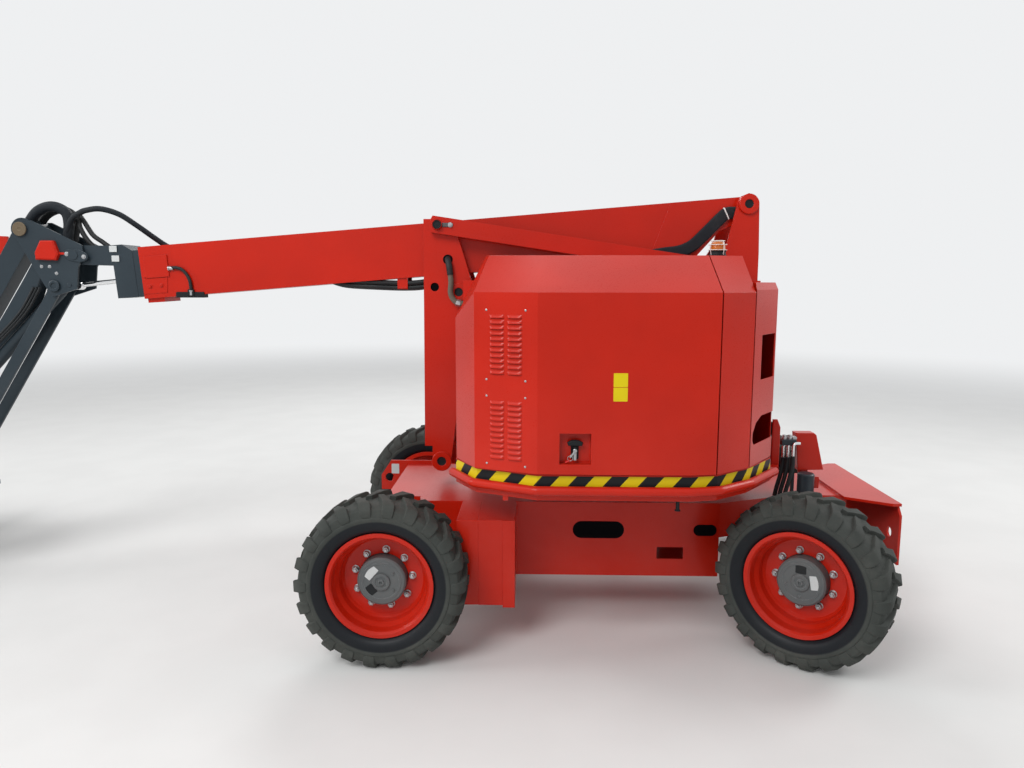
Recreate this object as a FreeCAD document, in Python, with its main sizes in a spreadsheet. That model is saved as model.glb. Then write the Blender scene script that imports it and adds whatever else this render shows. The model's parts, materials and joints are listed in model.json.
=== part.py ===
import FreeCAD, Part

import math
import os

import Sketcher
from FreeCAD import Placement, Rotation, Vector

# Articulating boom lift with four rubber-tyred wheels, in millimetres.
# The platform end points along -X, the counterweight end along +X, the machine's left side
# is -Y and up is +Z. The origin lies on the ground, under the middle of the overall length.
# Every "_x" value is measured from the slewing axis, which stands slew_x from the origin.

SIZES = (
    # name, value, what it measures
    ("slew_x", 1628, "slewing axis from the origin"),
    ("clearance", 0.3, "gap at a seat between two pieces"),
    ("pin_clearance", 0.1, "radial gap of a pin in its eye"),
    ("axle_x", 1015, "half the wheelbase"),
    ("axle_z", 388, "wheel centre above the ground"),
    ("track_y", 805, "wheel centre plane from the middle plane"),
    ("kingpin_y", 610, "steering axis from the middle plane"),
    ("steer_rest", 37, "angle at which the rear wheels stand"),
    ("tyre_radius", 388, "over the tread lugs"),
    ("tyre_half", 130, "half the tyre's width"),
    ("rim_radius", 242, "rim flange"),
    ("seat_radius", 226, "bead seat"),
    ("hub_radius", 110, "planetary hub cover"),
    ("stud_circle", 132.5, "radius of the wheel stud circle"),
    ("deck_z", 627, "top of the chassis deck"),
    ("belly_z", 245, "underside of the chassis box"),
    ("chassis_half", 390, "outer face of the side plates"),
    ("chassis_plate", 12, "thickness of the chassis plates"),
    ("tail_half", 230, "half width of the chassis over the rear axle"),
    ("step_half", 700, "outer face of the step boxes"),
    ("ring_radius", 330, "slewing ring"),
    ("table_z", 785, "underside of the turntable plate"),
    ("table_plate", 25, "thickness of the turntable plate"),
    ("table_half", 905, "edge of the turntable plate"),
    ("cowl_half", 925, "outer face of the cowls"),
    ("cowl_z", 905, "lower edge of the cowls"),
    ("cowl_break_z", 1680, "height where the cowl sides fold inwards"),
    ("cowl_top_z", 1842, "top of the side cowls"),
    ("cowl_inner_y", 225, "inner edge of the cowls"),
    ("lower_louvre_z", 957, "lowest slot of the lower louvre panel"),
    ("upper_louvre_z", 1329, "lowest slot of the upper louvre panel"),
    ("louvre_pitch", 24, "height from slot to slot"),
    ("sheet_metal", 4, "thickness of the cowl sheet"),
    ("tower_y", 198, "middle of the tower plates"),
    ("fork_y", 157, "middle of the knuckle and upright plates"),
    ("fork_plate", 15, "thickness of those plates"),
    ("arm_length", 1480, "pin to pin length of arms and links"),
    ("lower_rest", 14, "angle of the lower arm at rest"),
    ("upper_rest", 8.7, "angle of the upper arm at rest"),
    ("knuckle_x", -821, "lower arm pin in the front knuckle"),
    ("knuckle_z", 778, "lower arm pin in the front knuckle"),
    ("lower_link_dx", 50, "lower link pin from the lower arm pin"),
    ("lower_link_dz", 170, "lower link pin from the lower arm pin"),
    ("upper_arm_x", -723, "upper arm pin in the front knuckle"),
    ("upper_arm_z", 1670, "upper arm pin in the front knuckle"),
    ("upper_link_dx", -102, "upper link pin from the upper arm pin"),
    ("upper_link_dz", 338, "upper link pin from the upper arm pin"),
    ("arm_half", 70, "half the width of the lower and upper arms"),
    ("arm_wall", 6, "wall of the lower and upper arms"),
    ("arm_pin", 25, "radius of the arm pins"),
    ("boom_pivot_x", 741, "main boom pivot"),
    ("boom_pivot_z", 2112, "main boom pivot"),
    ("boom_rest", 4.6, "slope of the main boom at rest"),
    ("boom_half", 105, "half the width of the outer boom"),
    ("boom_top", 43, "outer boom's top from its pivot"),
    ("boom_bottom", -228, "outer boom's underside from its pivot"),
    ("boom_front", -3167, "outer boom's front end from its pivot"),
    ("boom_wall", 8, "thickness of the boom plates"),
    ("pad_gap", 6, "gap filled by the wear pads, above and below the inner boom"),
    ("boom_pin", 30, "radius of the main boom pin"),
    ("lift_lug_x", -1000, "lift cylinder eye on the boom, from the boom pivot"),
    ("lift_lug_z", -300, "lift cylinder eye on the boom, from the boom pivot"),
    ("lift_base_dx", -80, "lift cylinder base in the upright, from the boom pivot"),
    ("lift_base_dz", -492, "lift cylinder base in the upright, from the boom pivot"),
    ("tower_base_dx", 62, "tower cylinder base in the knuckle, from the lower arm pin"),
    ("tower_base_dz", 372, "tower cylinder base in the knuckle, from the lower arm pin"),
    ("tower_lug_x", 630, "tower cylinder eye on the upper arm, along it"),
    ("tower_lug_z", -110, "tower cylinder eye on the upper arm, across it"),
    ("inner_half", 90, "half the width of the inner boom"),
    ("inner_front", -3316, "inner boom's head plate from the main pivot"),
    ("inner_rear", -700, "inner boom's rear end from the main pivot"),
    ("nose_x", -3521, "jib head pin from the main pivot, along the boom"),
    ("nose_z", 31, "jib head pin from the main pivot, across the boom"),
    ("head_y", 86, "middle of the jib head plates"),
    ("head_plate", 12, "thickness of the jib head plates"),
    ("jib_arm_dx", -275, "jib arm pin from the jib head pin"),
    ("jib_arm_dz", 135, "jib arm pin from the jib head pin"),
    ("jib_link_dx", 162, "jib link pin from the jib arm pin"),
    ("jib_link_dz", -297, "jib link pin from the jib arm pin"),
    ("jib_length", 1300, "pin to pin length of the jib arm"),
    ("jib_rest", 57, "angle of the jib below level at rest"),
    ("jib_half", 50, "half the width of the jib arm"),
    ("jib_wall", 5, "wall of the jib arm"),
    ("jib_pin", 20, "radius of the jib pins"),
    ("jib_lug_x", -1000, "jib cylinder eye on the jib arm, along it"),
    ("jib_lug_z", -120, "jib cylinder eye on the jib arm, across it"),
    ("level_lug_x", -2950, "levelling cylinder base in the inner boom, along it"),
    ("level_lug_z", -110, "levelling cylinder base in the inner boom, across it"),
    ("level_eye_dx", -36, "levelling cylinder eye in the jib head, from its pin"),
    ("level_eye_dz", -158, "levelling cylinder eye in the jib head, from its pin"),
    ("rotator_dx", -125, "platform rotator axis from the front jib arm pin"),
    ("basket_gap", 125, "rotator axis to the back of the platform"),
    ("basket_depth", 760, "platform from back to front"),
    ("basket_half", 900, "half the platform's width"),
    ("basket_floor_z", 340, "underside of the platform floor"),
    ("floor_frame", 40, "width of the members under the floor"),
    ("floor_plate", 4, "thickness of the floor plate"),
    ("toe_board", 100, "height of the toe boards"),
    ("gate_width", 620, "platform gate opening"),
    ("rail_height", 1100, "top rail above the floor"),
    ("rail_radius", 17, "platform tube"),
)

doc = FreeCAD.newDocument("ArticulatingBoomLift")
sheet = doc.addObject("Spreadsheet::Sheet", "Sizes")


class Size:
    """A length or angle that carries its value and its formula in the sheet's names."""

    def __init__(self, value, formula):
        self.value = float(value)
        self.formula = formula

    def join(self, other, sign, value):
        return Size(value, "(%s %s %s)" % (self.formula, sign, formula_of(other)))

    def __add__(self, other):
        return self.join(other, "+", self.value + value_of(other))

    def __sub__(self, other):
        return self.join(other, "-", self.value - value_of(other))

    def __mul__(self, other):
        return self.join(other, "*", self.value * value_of(other))

    def __truediv__(self, other):
        return self.join(other, "/", self.value / value_of(other))

    def __radd__(self, other):
        return as_size(other) + self

    def __rsub__(self, other):
        return as_size(other) - self

    def __rmul__(self, other):
        return as_size(other) * self

    def __neg__(self):
        return Size(-self.value, "(0 - %s)" % self.formula)


def value_of(item):
    return item.value if isinstance(item, Size) else float(item)


def formula_of(item):
    return item.formula if isinstance(item, Size) else repr(float(item))


def as_size(item):
    return item if isinstance(item, Size) else Size(item, formula_of(item))


def cosine(angle):
    return Size(math.cos(math.radians(value_of(angle))), "cos(%s * 1 deg)" % formula_of(angle))


def sine(angle):
    return Size(math.sin(math.radians(value_of(angle))), "sin(%s * 1 deg)" % formula_of(angle))


def heading(dx, dz):
    """Direction of a run in the side view, in degrees up from +X."""
    angle = math.degrees(math.atan2(value_of(dz), value_of(dx)))
    return Size(angle, "(atan2(%s; %s) / 1 deg)" % (formula_of(dz), formula_of(dx)))


def distance(dx, dz):
    run = math.hypot(value_of(dx), value_of(dz))
    square = dx * dx + dz * dz
    return Size(run, "sqrt(%s)" % formula_of(square))


class Names:
    """The sheet's values under their own names."""


size = Names()
for row, (name, number, note) in enumerate(SIZES, start=1):
    sheet.set("A%d" % row, name)
    sheet.set("B%d" % row, str(number))
    sheet.setAlias("B%d" % row, name)
    sheet.set("C%d" % row, note)
    setattr(size, name, Size(number, "Sizes." + name))
doc.recompute()

PARTS = []


def bind(item, prop, amount):
    """Give a property its value, by formula where the value comes from the sheet."""
    if isinstance(amount, Size):
        item.setExpression(prop, amount.formula)
    else:
        setattr(item, prop, amount)


def place(item, x, y, z, turn=0.0, axis=(0, 1, 0)):
    """Place a sub-part, x counted from the slewing axis, turned by an angle about an axis."""
    spot = (size.slew_x + x, as_size(y), as_size(z))
    item.Placement = Placement(Vector(*[value_of(each) for each in spot]),
                               Rotation(Vector(*axis), value_of(turn)))
    for letter, each in zip("xyz", spot):
        item.setExpression("Placement.Base." + letter, each.formula)
    if isinstance(turn, Size):
        item.setExpression("Placement.Rotation.Angle", "%s * 1 deg" % turn.formula)


def new_body(label, x=0, y=0, z=0, turn=0.0, axis=(0, 1, 0)):
    """A body with its own label and placement, entered in the list of pieces."""
    body = doc.addObject("PartDesign::Body", label)
    body.Label = label
    body.AllowCompound = True
    place(body, x, y, z, turn, axis)
    PARTS.append(body)
    return body


def new_sketch(body, plane, offset=0):
    """A sketch on one of the body's own planes, moved along the plane's normal."""
    sketch = body.newObject("Sketcher::SketchObject", body.Label + "_sketch")
    base = [item for item in body.Origin.OriginFeatures if item.Role == plane + "_Plane"][0]
    sketch.AttachmentSupport = [(base, "")]
    sketch.MapMode = "FlatFace"
    if isinstance(offset, Size):
        sketch.AttachmentOffset = Placement(Vector(0, 0, offset.value), Rotation())
        sketch.setExpression("AttachmentOffset.Base.z", offset.formula)
    else:
        sketch.AttachmentOffset = Placement(Vector(0, 0, offset), Rotation())
    return sketch


def fix_point(sketch, geometry, end, x, y):
    """Hold a sketch point at its distances from the sketch's origin."""
    for kind, amount in (("DistanceX", x), ("DistanceY", y)):
        index = sketch.addConstraint(
            Sketcher.Constraint(kind, -1, 1, geometry, end, value_of(amount)))
        if isinstance(amount, Size):
            sketch.setExpression("Constraints[%d]" % index, amount.formula)


def add_outline(sketch, corners):
    """A closed outline of straight lines through the corners."""
    count = len(corners)
    flat = [Vector(value_of(x), value_of(y), 0) for x, y in corners]
    first = sketch.GeometryCount
    for index in range(count):
        sketch.addGeometry(Part.LineSegment(flat[index], flat[(index + 1) % count]))
    for index in range(count):
        follower = first + (index + 1) % count
        sketch.addConstraint(Sketcher.Constraint("Coincident", first + index, 2, follower, 1))
    for index, (x, y) in enumerate(corners):
        fix_point(sketch, first + index, 1, x, y)


def add_circle(sketch, x, y, radius):
    circle = Part.Circle(Vector(value_of(x), value_of(y), 0), Vector(0, 0, 1), value_of(radius))
    index = sketch.addGeometry(circle)
    held = sketch.addConstraint(Sketcher.Constraint("Radius", index, value_of(radius)))
    if isinstance(radius, Size):
        sketch.setExpression("Constraints[%d]" % held, radius.formula)
    fix_point(sketch, index, 3, x, y)


def pad(body, sketch, length, both=False, back=False):
    """Thicken a sketch along its normal, to both sides or backwards."""
    feature = body.newObject("PartDesign::Pad", body.Label + "_pad")
    feature.Profile = sketch
    bind(feature, "Length", length)
    feature.SideType = "Symmetric" if both else "One side"
    feature.Reversed = back
    sketch.Visibility = False
    return feature


def cut(body, sketch, length=None, both=True, back=False):
    """Cut a sketch through the body, or to a depth."""
    feature = body.newObject("PartDesign::Pocket", body.Label + "_pocket")
    feature.Profile = sketch
    if length is None:
        feature.Type = "ThroughAll"
    else:
        bind(feature, "Length", length)
    feature.SideType = "Symmetric" if both else "One side"
    feature.Reversed = back
    sketch.Visibility = False
    return feature


def row_up(body, feature, sketch, pitch, count):
    """Repeat a cut upwards, by the pitch, along its own sketch's vertical axis."""
    pattern = body.newObject("PartDesign::LinearPattern", body.Label + "_rows")
    pattern.Originals = [feature]
    pattern.Direction = (sketch, ["V_Axis"])
    bind(pattern, "Length", pitch * (count - 1))
    pattern.Occurrences = count
    body.Tip = pattern
    return pattern


def side_plate(body, corners, y, thickness):
    """A plate that stands along the machine, its middle at y."""
    sketch = new_sketch(body, "XZ", -as_size(y))
    add_outline(sketch, corners)
    return pad(body, sketch, thickness, both=True)


def side_boss(body, x, z, radius, y, length):
    """A round boss or pin across the machine, its middle at y."""
    sketch = new_sketch(body, "XZ", -as_size(y))
    add_circle(sketch, x, z, radius)
    return pad(body, sketch, length, both=True)


def side_holes(body, holes):
    """Round holes right across the body, from rows of x, z, radius."""
    sketch = new_sketch(body, "XZ")
    for x, z, radius in holes:
        add_circle(sketch, x, z, radius)
    return cut(body, sketch)


def side_cut(body, corners, y=0, width=None):
    """A straight-sided opening across the body, right through or over a width about y."""
    sketch = new_sketch(body, "XZ", -as_size(y))
    add_outline(sketch, corners)
    return cut(body, sketch, width)


def flat_plate(body, corners, z, thickness):
    """A level plate, its underside at z."""
    sketch = new_sketch(body, "XY", z)
    add_outline(sketch, corners)
    return pad(body, sketch, thickness)


def cross_plate(body, corners, x, thickness):
    """A plate that stands across the machine, from x backwards along +X."""
    sketch = new_sketch(body, "YZ", x)
    add_outline(sketch, corners)
    return pad(body, sketch, thickness)


def upright_post(body, x, y, radius, z, height):
    """A round post, its foot at z."""
    sketch = new_sketch(body, "XY", z)
    add_circle(sketch, x, y, radius)
    return pad(body, sketch, height)


def box_outline(x0, x1, z0, z1):
    return [(x0, z0), (x1, z0), (x1, z1), (x0, z1)]


def turned(body, profile):
    """A body of revolution about Y, its profile in (along Y, radius) points."""
    sketch = new_sketch(body, "YZ")
    add_outline(sketch, profile)
    feature = body.newObject("PartDesign::Revolution", body.Label + "_turning")
    feature.Profile = sketch
    feature.ReferenceAxis = (sketch, ["H_Axis"])
    feature.Angle = 360
    sketch.Visibility = False
    return feature


SIDES = (("left", -1), ("right", 1))


def make_wheel(label, x, y, turn):
    """Tyre, rim and hub of one wheel, their outer face towards local -Y."""
    edge = size.tyre_half
    crown = size.tyre_radius
    bead = size.seat_radius + size.clearance
    flange = size.rim_radius
    tyre = new_body("tyre_" + label, x, y, size.axle_z, turn, (0, 0, 1))
    half_tyre = (
        # from the middle plane, radius
        (97.5, bead),
        (97.5, flange + 2),
        (edge - 9, flange + 20),
        (edge, crown - 88),
        (edge - 3, crown - 42),
        (edge - 16, crown - 13),
        (edge - 55, crown),
    )
    turned(tyre, [(-as_size(t), r) for t, r in half_tyre] + list(reversed(half_tyre)))

    rim = new_body("rim_" + label, x, y, size.axle_z, turn, (0, 0, 1))
    seat = size.seat_radius
    turned(rim, [
        # along the axle from the outer face, radius
        (-108, flange), (-99, flange), (-98, seat), (-62, seat - 4), (-42, seat - 20),
        (22, seat - 20), (46, seat - 4), (98, seat), (99, flange), (107, flange),
        (107, seat - 8), (95, seat - 12), (50, seat - 16), (32, seat - 30), (21, seat - 34),
        (21, size.hub_radius + 2), (9, size.hub_radius + 2), (9, seat - 46), (-4, seat - 34),
        (-38, seat - 30), (-60, seat - 16), (-98, seat - 10), (-108, seat - 2)])

    hub = new_body("hub_" + label, x, y, size.axle_z, turn, (0, 0, 1))
    turned(hub, [
        # along the axle from the outer face, radius
        (-59, 0), (-59, 24), (-56, 34), (-53, 36), (-53, size.hub_radius - 8),
        (-46, size.hub_radius), (21.3, size.hub_radius), (21.3, size.stud_circle + 22),
        (40, size.stud_circle + 22), (46, 92), (109.7, 92), (109.7, 0)])
    return tyre, rim, hub


def make_wheels():
    """Four wheels: the front pair stands straight, the rear pair as it was left, steered."""
    for side, sign in SIDES:
        straight = 0.0 if sign < 0 else 180.0
        make_wheel("front_" + side, -size.axle_x, sign * size.track_y, straight)
        out = size.track_y - size.kingpin_y
        turn = straight - size.steer_rest
        x = size.axle_x + sign * out * sine(size.steer_rest)
        y = sign * (size.kingpin_y + out * cosine(size.steer_rest))
        make_wheel("rear_" + side, x, y, turn)


def make_axles():
    """Front drive axle, rear steering axle with kingpins, and the two steered knuckles."""
    front = new_body("front_axle", -size.axle_x, 0, size.axle_z)
    end = size.track_y - 110
    half_front = (
        # from the middle, radius
        (end, 92), (end - 115, 92), (end - 130, 62), (190, 62), (120, 128))
    turned(front, [(end, 0)] + list(half_front) +
           [(-as_size(t), r) for t, r in reversed(half_front)] + [(-end, 0)])
    pad_top = 470 - size.axle_z - size.clearance
    for _, sign in SIDES:
        side_plate(front, box_outline(-90, 90, 20, pad_top),
                   sign * (size.chassis_half - 25), 90)

    rear = new_body("rear_axle", size.axle_x, 0, size.axle_z)
    half_rear = ((size.kingpin_y - 90, 62), (190, 62), (120, 128))
    turned(rear, [(size.kingpin_y - 90, 0)] + list(half_rear) +
           [(-as_size(t), r) for t, r in reversed(half_rear)] + [(-(size.kingpin_y - 90), 0)])
    for _, sign in SIDES:
        yoke_in = size.kingpin_y - 110
        yoke = [(sign * yoke_in, -118), (sign * (size.kingpin_y + 42), -118),
                (sign * (size.kingpin_y + 42), -92), (sign * (yoke_in + 24), -92),
                (sign * (yoke_in + 24), 92), (sign * (size.kingpin_y + 42), 92),
                (sign * (size.kingpin_y + 42), 118), (sign * yoke_in, 118)]
        cross_plate(rear, yoke if sign > 0 else yoke[::-1], -40, 80)
        upright_post(rear, 0, sign * size.kingpin_y, 20, -118, 236)

    for side, sign in SIDES:
        knuckle = new_body("steering_knuckle_" + side, size.axle_x, sign * size.kingpin_y,
                           size.axle_z, -size.steer_rest, (0, 0, 1))
        upright_post(knuckle, 0, 0, 40, -86, 172)
        reach = size.track_y - 110 - size.kingpin_y
        flange = new_sketch(knuckle, "XZ", -sign * reach)
        add_circle(flange, 0, 0, 84)
        pad(knuckle, flange, reach - 42, back=sign < 0)
        neck = new_sketch(knuckle, "XZ", -sign * reach)
        add_circle(neck, 0, 0, 38)
        pad(knuckle, neck, reach, back=sign < 0)
        bore = new_sketch(knuckle, "XY")
        add_circle(bore, 0, 0, 20 + size.pin_clearance)
        cut(knuckle, bore)


def make_chassis():
    """Welded frame: deck, slotted side plates, step boxes, tail and bumper."""
    body = new_body("chassis_frame")
    plate = size.chassis_plate
    half = size.chassis_half
    tail = size.tail_half
    top = size.deck_z
    deck = [(-1090, -half), (600, -half), (1000, -tail), (1290, -tail), (1290, tail),
            (1000, tail), (600, half), (-1090, half)]
    flat_plate(body, deck, top - plate, plate)
    side = [
        # x, z of the side plate, from the front lug round by the tail
        (-1255, 470), (-1255, 560), (-1195, 650), (-905, 650), (-905, top), (600, top),
        (600, size.belly_z), (-420, size.belly_z), (-600, 470)]
    for _, sign in SIDES:
        side_plate(body, side, sign * (half - plate / 2), plate)
    flat_plate(body, [(-420, -half + 1), (600, -half + 1), (600, half - 1), (-420, half - 1)],
               size.belly_z, plate)
    rest = size.axle_z + 62 + size.clearance
    for _, sign in SIDES:
        wall = [(600, sign * half), (1000, sign * tail), (1290, sign * tail),
                (1290, sign * (tail - plate)), (997, sign * (tail - plate)),
                (597, sign * (half - plate))]
        flat_plate(body, wall if sign < 0 else wall[::-1], rest, top - rest)
        step = box_outline(-590, -475, sign * (half - 1), sign * size.step_half)
        flat_plate(body, step if sign > 0 else step[::-1], 215, top - 215)
        flange = box_outline(-476, -419, sign * (half - 1), sign * (size.step_half + 4))
        flat_plate(body, flange if sign > 0 else flange[::-1], 205, top - 205)
    bumper_top = [(1250, -300), (1440, -420), (1482, -420), (1482, 420), (1440, 420), (1250, 300)]
    flat_plate(body, bumper_top, top, 14)
    cross_plate(body, [(-430, 330), (430, 330), (430, 580), (380, top + 14),
                       (-380, top + 14), (-430, 580)], 1470, plate)
    ties = new_sketch(body, "YZ", 1460)
    for _, sign in SIDES:
        add_circle(ties, sign * 330, 470, 26)
    cut(body, ties, 40, both=False, back=True)
    tow = new_sketch(body, "XZ")
    add_circle(tow, -1205, 545, 26)
    cut(body, tow)
    slots = new_sketch(body, "XZ")
    add_outline(slots, [(-90, 440), (80, 440), (124, 484), (80, 528), (-90, 528), (-134, 484)])
    add_outline(slots, box_outline(291, 424, 335, 396))
    add_outline(slots, [(500, 457), (560, 457), (588, 486), (560, 515), (500, 515), (472, 486)])
    cut(body, slots)
    return body


def make_slewing():
    """Slewing ring between the deck and the turntable."""
    ring = new_body("slewing_ring", 0, 0, 0)
    low = size.deck_z + size.clearance
    upright_post(ring, 0, 0, size.ring_radius, low, size.table_z - size.clearance - low)
    bore = new_sketch(ring, "XY")
    add_circle(bore, 0, 0, size.ring_radius - 80)
    cut(ring, bore)


def table_outline():
    """Left half of the turntable's plan, front to rear, as x and distance from the middle."""
    edge = size.table_half
    return [(-700, 600), (-590, edge - 125), (-320, edge), (340, edge),
            (460, edge - 25), (620, edge - 150), (790, 540), (900, 330)]


def make_turntable():
    """Turntable weldment: plate with a slot for the knuckle, towers, bulkheads."""
    body = new_body("turntable_frame")
    z = size.table_z
    top = z + size.table_plate
    near = [(x, -as_size(y)) for x, y in table_outline()]
    far = [(x, y) for x, y in reversed(table_outline())]
    slot = [(-700, 185), (-400, 185), (-400, -185), (-700, -185)]
    flat_plate(body, near + far + slot, z, size.table_plate)
    lower_x, lower_z = lower_pivot()
    link_x = lower_x + size.lower_link_dx
    link_z = lower_z + size.lower_link_dz
    tower = [(380, top - 1), (790, top - 1), (790, link_z - 60), (link_x + 60, link_z + 45),
             (link_x - 50, link_z + 45), (lower_x - 90, lower_z + 60)]
    for _, sign in SIDES:
        side_plate(body, tower, sign * size.tower_y, 16)
        side_plate(body, box_outline(-695, 800, top - 1, size.cowl_break_z + 50),
                   sign * (size.cowl_inner_y - size.clearance - 4), 8)
    side_boss(body, lower_x, lower_z, size.arm_pin, 0, 2 * size.tower_y)
    side_boss(body, link_x, link_z, size.arm_pin, 0, 2 * size.tower_y)
    return body


def make_rim_bands():
    """Upstand round the turntable's edge that carries the stripes, and the tube below it."""
    for side, sign in SIDES:
        band = new_body("edge_band_" + side)
        edge = table_outline()[:-1]
        outer = [(x, sign * as_size(y)) for x, y in edge]
        inner = [(x, sign * (as_size(y) - 10)) for x, y in reversed(edge)]
        strip = outer + inner
        z = size.table_z + size.table_plate + size.clearance
        flat_plate(band, strip if sign > 0 else strip[::-1], z, size.cowl_z - 6 - z)
        tube = new_body("edge_tube_" + side)
        reach = size.clearance + 22
        middle = size.table_z + 12
        tube_x(tube, sign * (size.table_half + reach), middle, -320, 340, 22)


def hood_rings():
    """Plan outlines of a side hood at its lower edge, its fold and its top."""
    inner = size.cowl_inner_y
    edge = size.cowl_half
    low = [(-695, inner), (-695, 620), (-595, edge - 110), (-320, edge), (330, edge),
           (448, edge - 20), (448, inner)]
    high = [(-560, inner), (-560, 520), (-540, edge - 320), (-320, edge - 300),
            (330, edge - 300), (448, edge - 305), (448, inner)]
    return low, high


def inset(corners, amount):
    """An outline moved inwards by the sheet's thickness, its first and last corners left open."""
    flat = [Vector(value_of(x), value_of(y), 0) for x, y in corners]
    count = len(flat)
    area = sum(flat[i].x * flat[(i + 1) % count].y - flat[(i + 1) % count].x * flat[i].y
               for i in range(count))
    inward = 1.0 if area > 0 else -1.0
    moved = []
    for i, (x, y) in enumerate(corners):
        before = (flat[i] - flat[i - 1]).normalize()
        after = (flat[(i + 1) % count] - flat[i]).normalize()
        one = Vector(-before.y, before.x, 0) * inward
        two = Vector(-after.y, after.x, 0) * inward
        share = 1.0 / (1.0 + one.dot(two))
        step = (one + two) * share
        dy = step.y if 0 < i < count - 1 else -8.0 * step.y
        moved.append((x + amount * step.x, y + amount * dy))
    return moved


def make_shell(label, low, high, z0, z1, z2, sign):
    """A sheet-metal cover: straight sides, a folded top, open below and inwards."""
    body = new_body(label)
    low = [(x, sign * as_size(y)) for x, y in low]
    high = [(x, sign * as_size(y)) for x, y in high]
    sheet_low = inset(low, size.sheet_metal)
    sheet_high = inset(high, size.sheet_metal)
    straight = new_sketch(body, "XY", z0)
    add_outline(straight, low)
    pad(body, straight, z1 - z0)
    fold(body, "PartDesign::AdditiveLoft", low, high, z1, z2)
    hollow = new_sketch(body, "XY", z0 - 1)
    add_outline(hollow, sheet_low)
    cut(body, hollow, z1 - z0 + 1, both=False, back=True)
    fold(body, "PartDesign::SubtractiveLoft", sheet_low, sheet_high, z1, z2 - size.sheet_metal)
    return body


def fold(body, kind, low, high, z1, z2):
    """The sloping stretch between two plan outlines with as many corners."""
    foot = new_sketch(body, "XY", z1)
    add_outline(foot, low)
    crown = new_sketch(body, "XY", z2)
    add_outline(crown, high)
    loft = body.newObject(kind, body.Label + "_fold")
    loft.Profile = foot
    loft.Sections = [crown]
    loft.Ruled = True
    foot.Visibility = False
    crown.Visibility = False


def make_cowls():
    """Hinged hoods on both sides, and the fixed rear cowls with their windows."""
    low, high = hood_rings()
    for side, sign in SIDES:
        hood = make_shell("hood_" + side, low, high, size.cowl_z, size.cowl_break_z,
                          size.cowl_top_z, sign)
        face = size.cowl_half
        tray = new_sketch(hood, "XZ", -sign * (face - 1))
        add_outline(tray, box_outline(-230, -84, 944, 1090))
        pad(hood, tray, 46, back=sign < 0)
        recess = new_sketch(hood, "XZ", -sign * (face + 1))
        add_outline(recess, box_outline(-224, -90, 950, 1084))
        cut(hood, recess, 42, both=False, back=sign > 0)
        louvres = new_sketch(hood, "XZ", -sign * (face + 1))
        for z0 in (size.lower_louvre_z, size.upper_louvre_z):
            for x0 in (-524, -447):
                add_outline(louvres, box_outline(x0, x0 + 60, z0, z0 + 8))
        tube_x(hood, sign * size.cowl_inner_y, size.cowl_top_z - 8, -540, 430, 8)
        slots = cut(hood, louvres, 125, both=False, back=sign > 0)
        row_up(hood, slots, louvres, size.louvre_pitch, 11)
    inner = size.cowl_inner_y
    edge = size.cowl_half
    low = [(453, inner), (453, edge - 21), (622, edge - 150), (622, inner)]
    high = [(453, inner), (453, edge - 306), (612, edge - 360), (612, inner)]
    tail_low = [(627, inner), (627, edge - 156), (790, 540), (800, inner)]
    tail_high = [(627, inner), (627, edge - 180), (780, 525), (785, inner)]
    for side, sign in SIDES:
        make_shell("rear_cowl_" + side, low, high, size.cowl_z, size.cowl_break_z,
                   size.cowl_top_z, sign)
        tail = make_shell("tail_cowl_" + side, tail_low, tail_high, size.cowl_z,
                          size.cowl_break_z + 10, size.cowl_break_z + 42, sign)
        window = new_sketch(tail, "YZ", 700)
        add_outline(window, [(sign * 550, 1289), (sign * 625, 1289), (sign * 625, 1490),
                             (sign * 550, 1490)])
        cut(tail, window, 200, both=False, back=True)
        hand_hole = new_sketch(tail, "XZ", -sign * (edge - 150))
        add_outline(hand_hole, [(652, 1000), (820, 1000), (820, 1122), (700, 1122), (662, 1098),
                                (640, 1055), (640, 1020)])
        cut(tail, hand_hole, 250, both=False, back=sign > 0)


def make_masses():
    """Counterweight casting behind the arms and the engine under the left hood."""
    weight = new_body("counterweight")
    z = size.table_z + size.table_plate + size.clearance
    plan = [(812, 500), (845, 470), (905, 345), (918, 300)]
    near = [(x, -as_size(y)) for x, y in plan]
    flat_plate(weight, near + list(reversed(plan)), z, 690)
    side_cut(weight, [(880, z + 700), (930, z + 700), (930, z + 560)])
    side_cut(weight, [(890, z - 5), (930, z - 5), (930, z + 40)])
    eyes = new_sketch(weight, "YZ", 905)
    for _, sign in SIDES:
        add_circle(eyes, sign * 190, z + 480, 26)
    cut(weight, eyes, 60, both=False, back=True)
    engine = new_body("engine")
    flat_plate(engine, [(-480, -820), (200, -820), (200, -300), (-480, -300)], z, 560)


def lower_pivot():
    """Rear pin of the lower arm, in the turntable."""
    return (size.knuckle_x + size.arm_length * cosine(size.lower_rest),
            size.knuckle_z + size.arm_length * sine(size.lower_rest))


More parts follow.
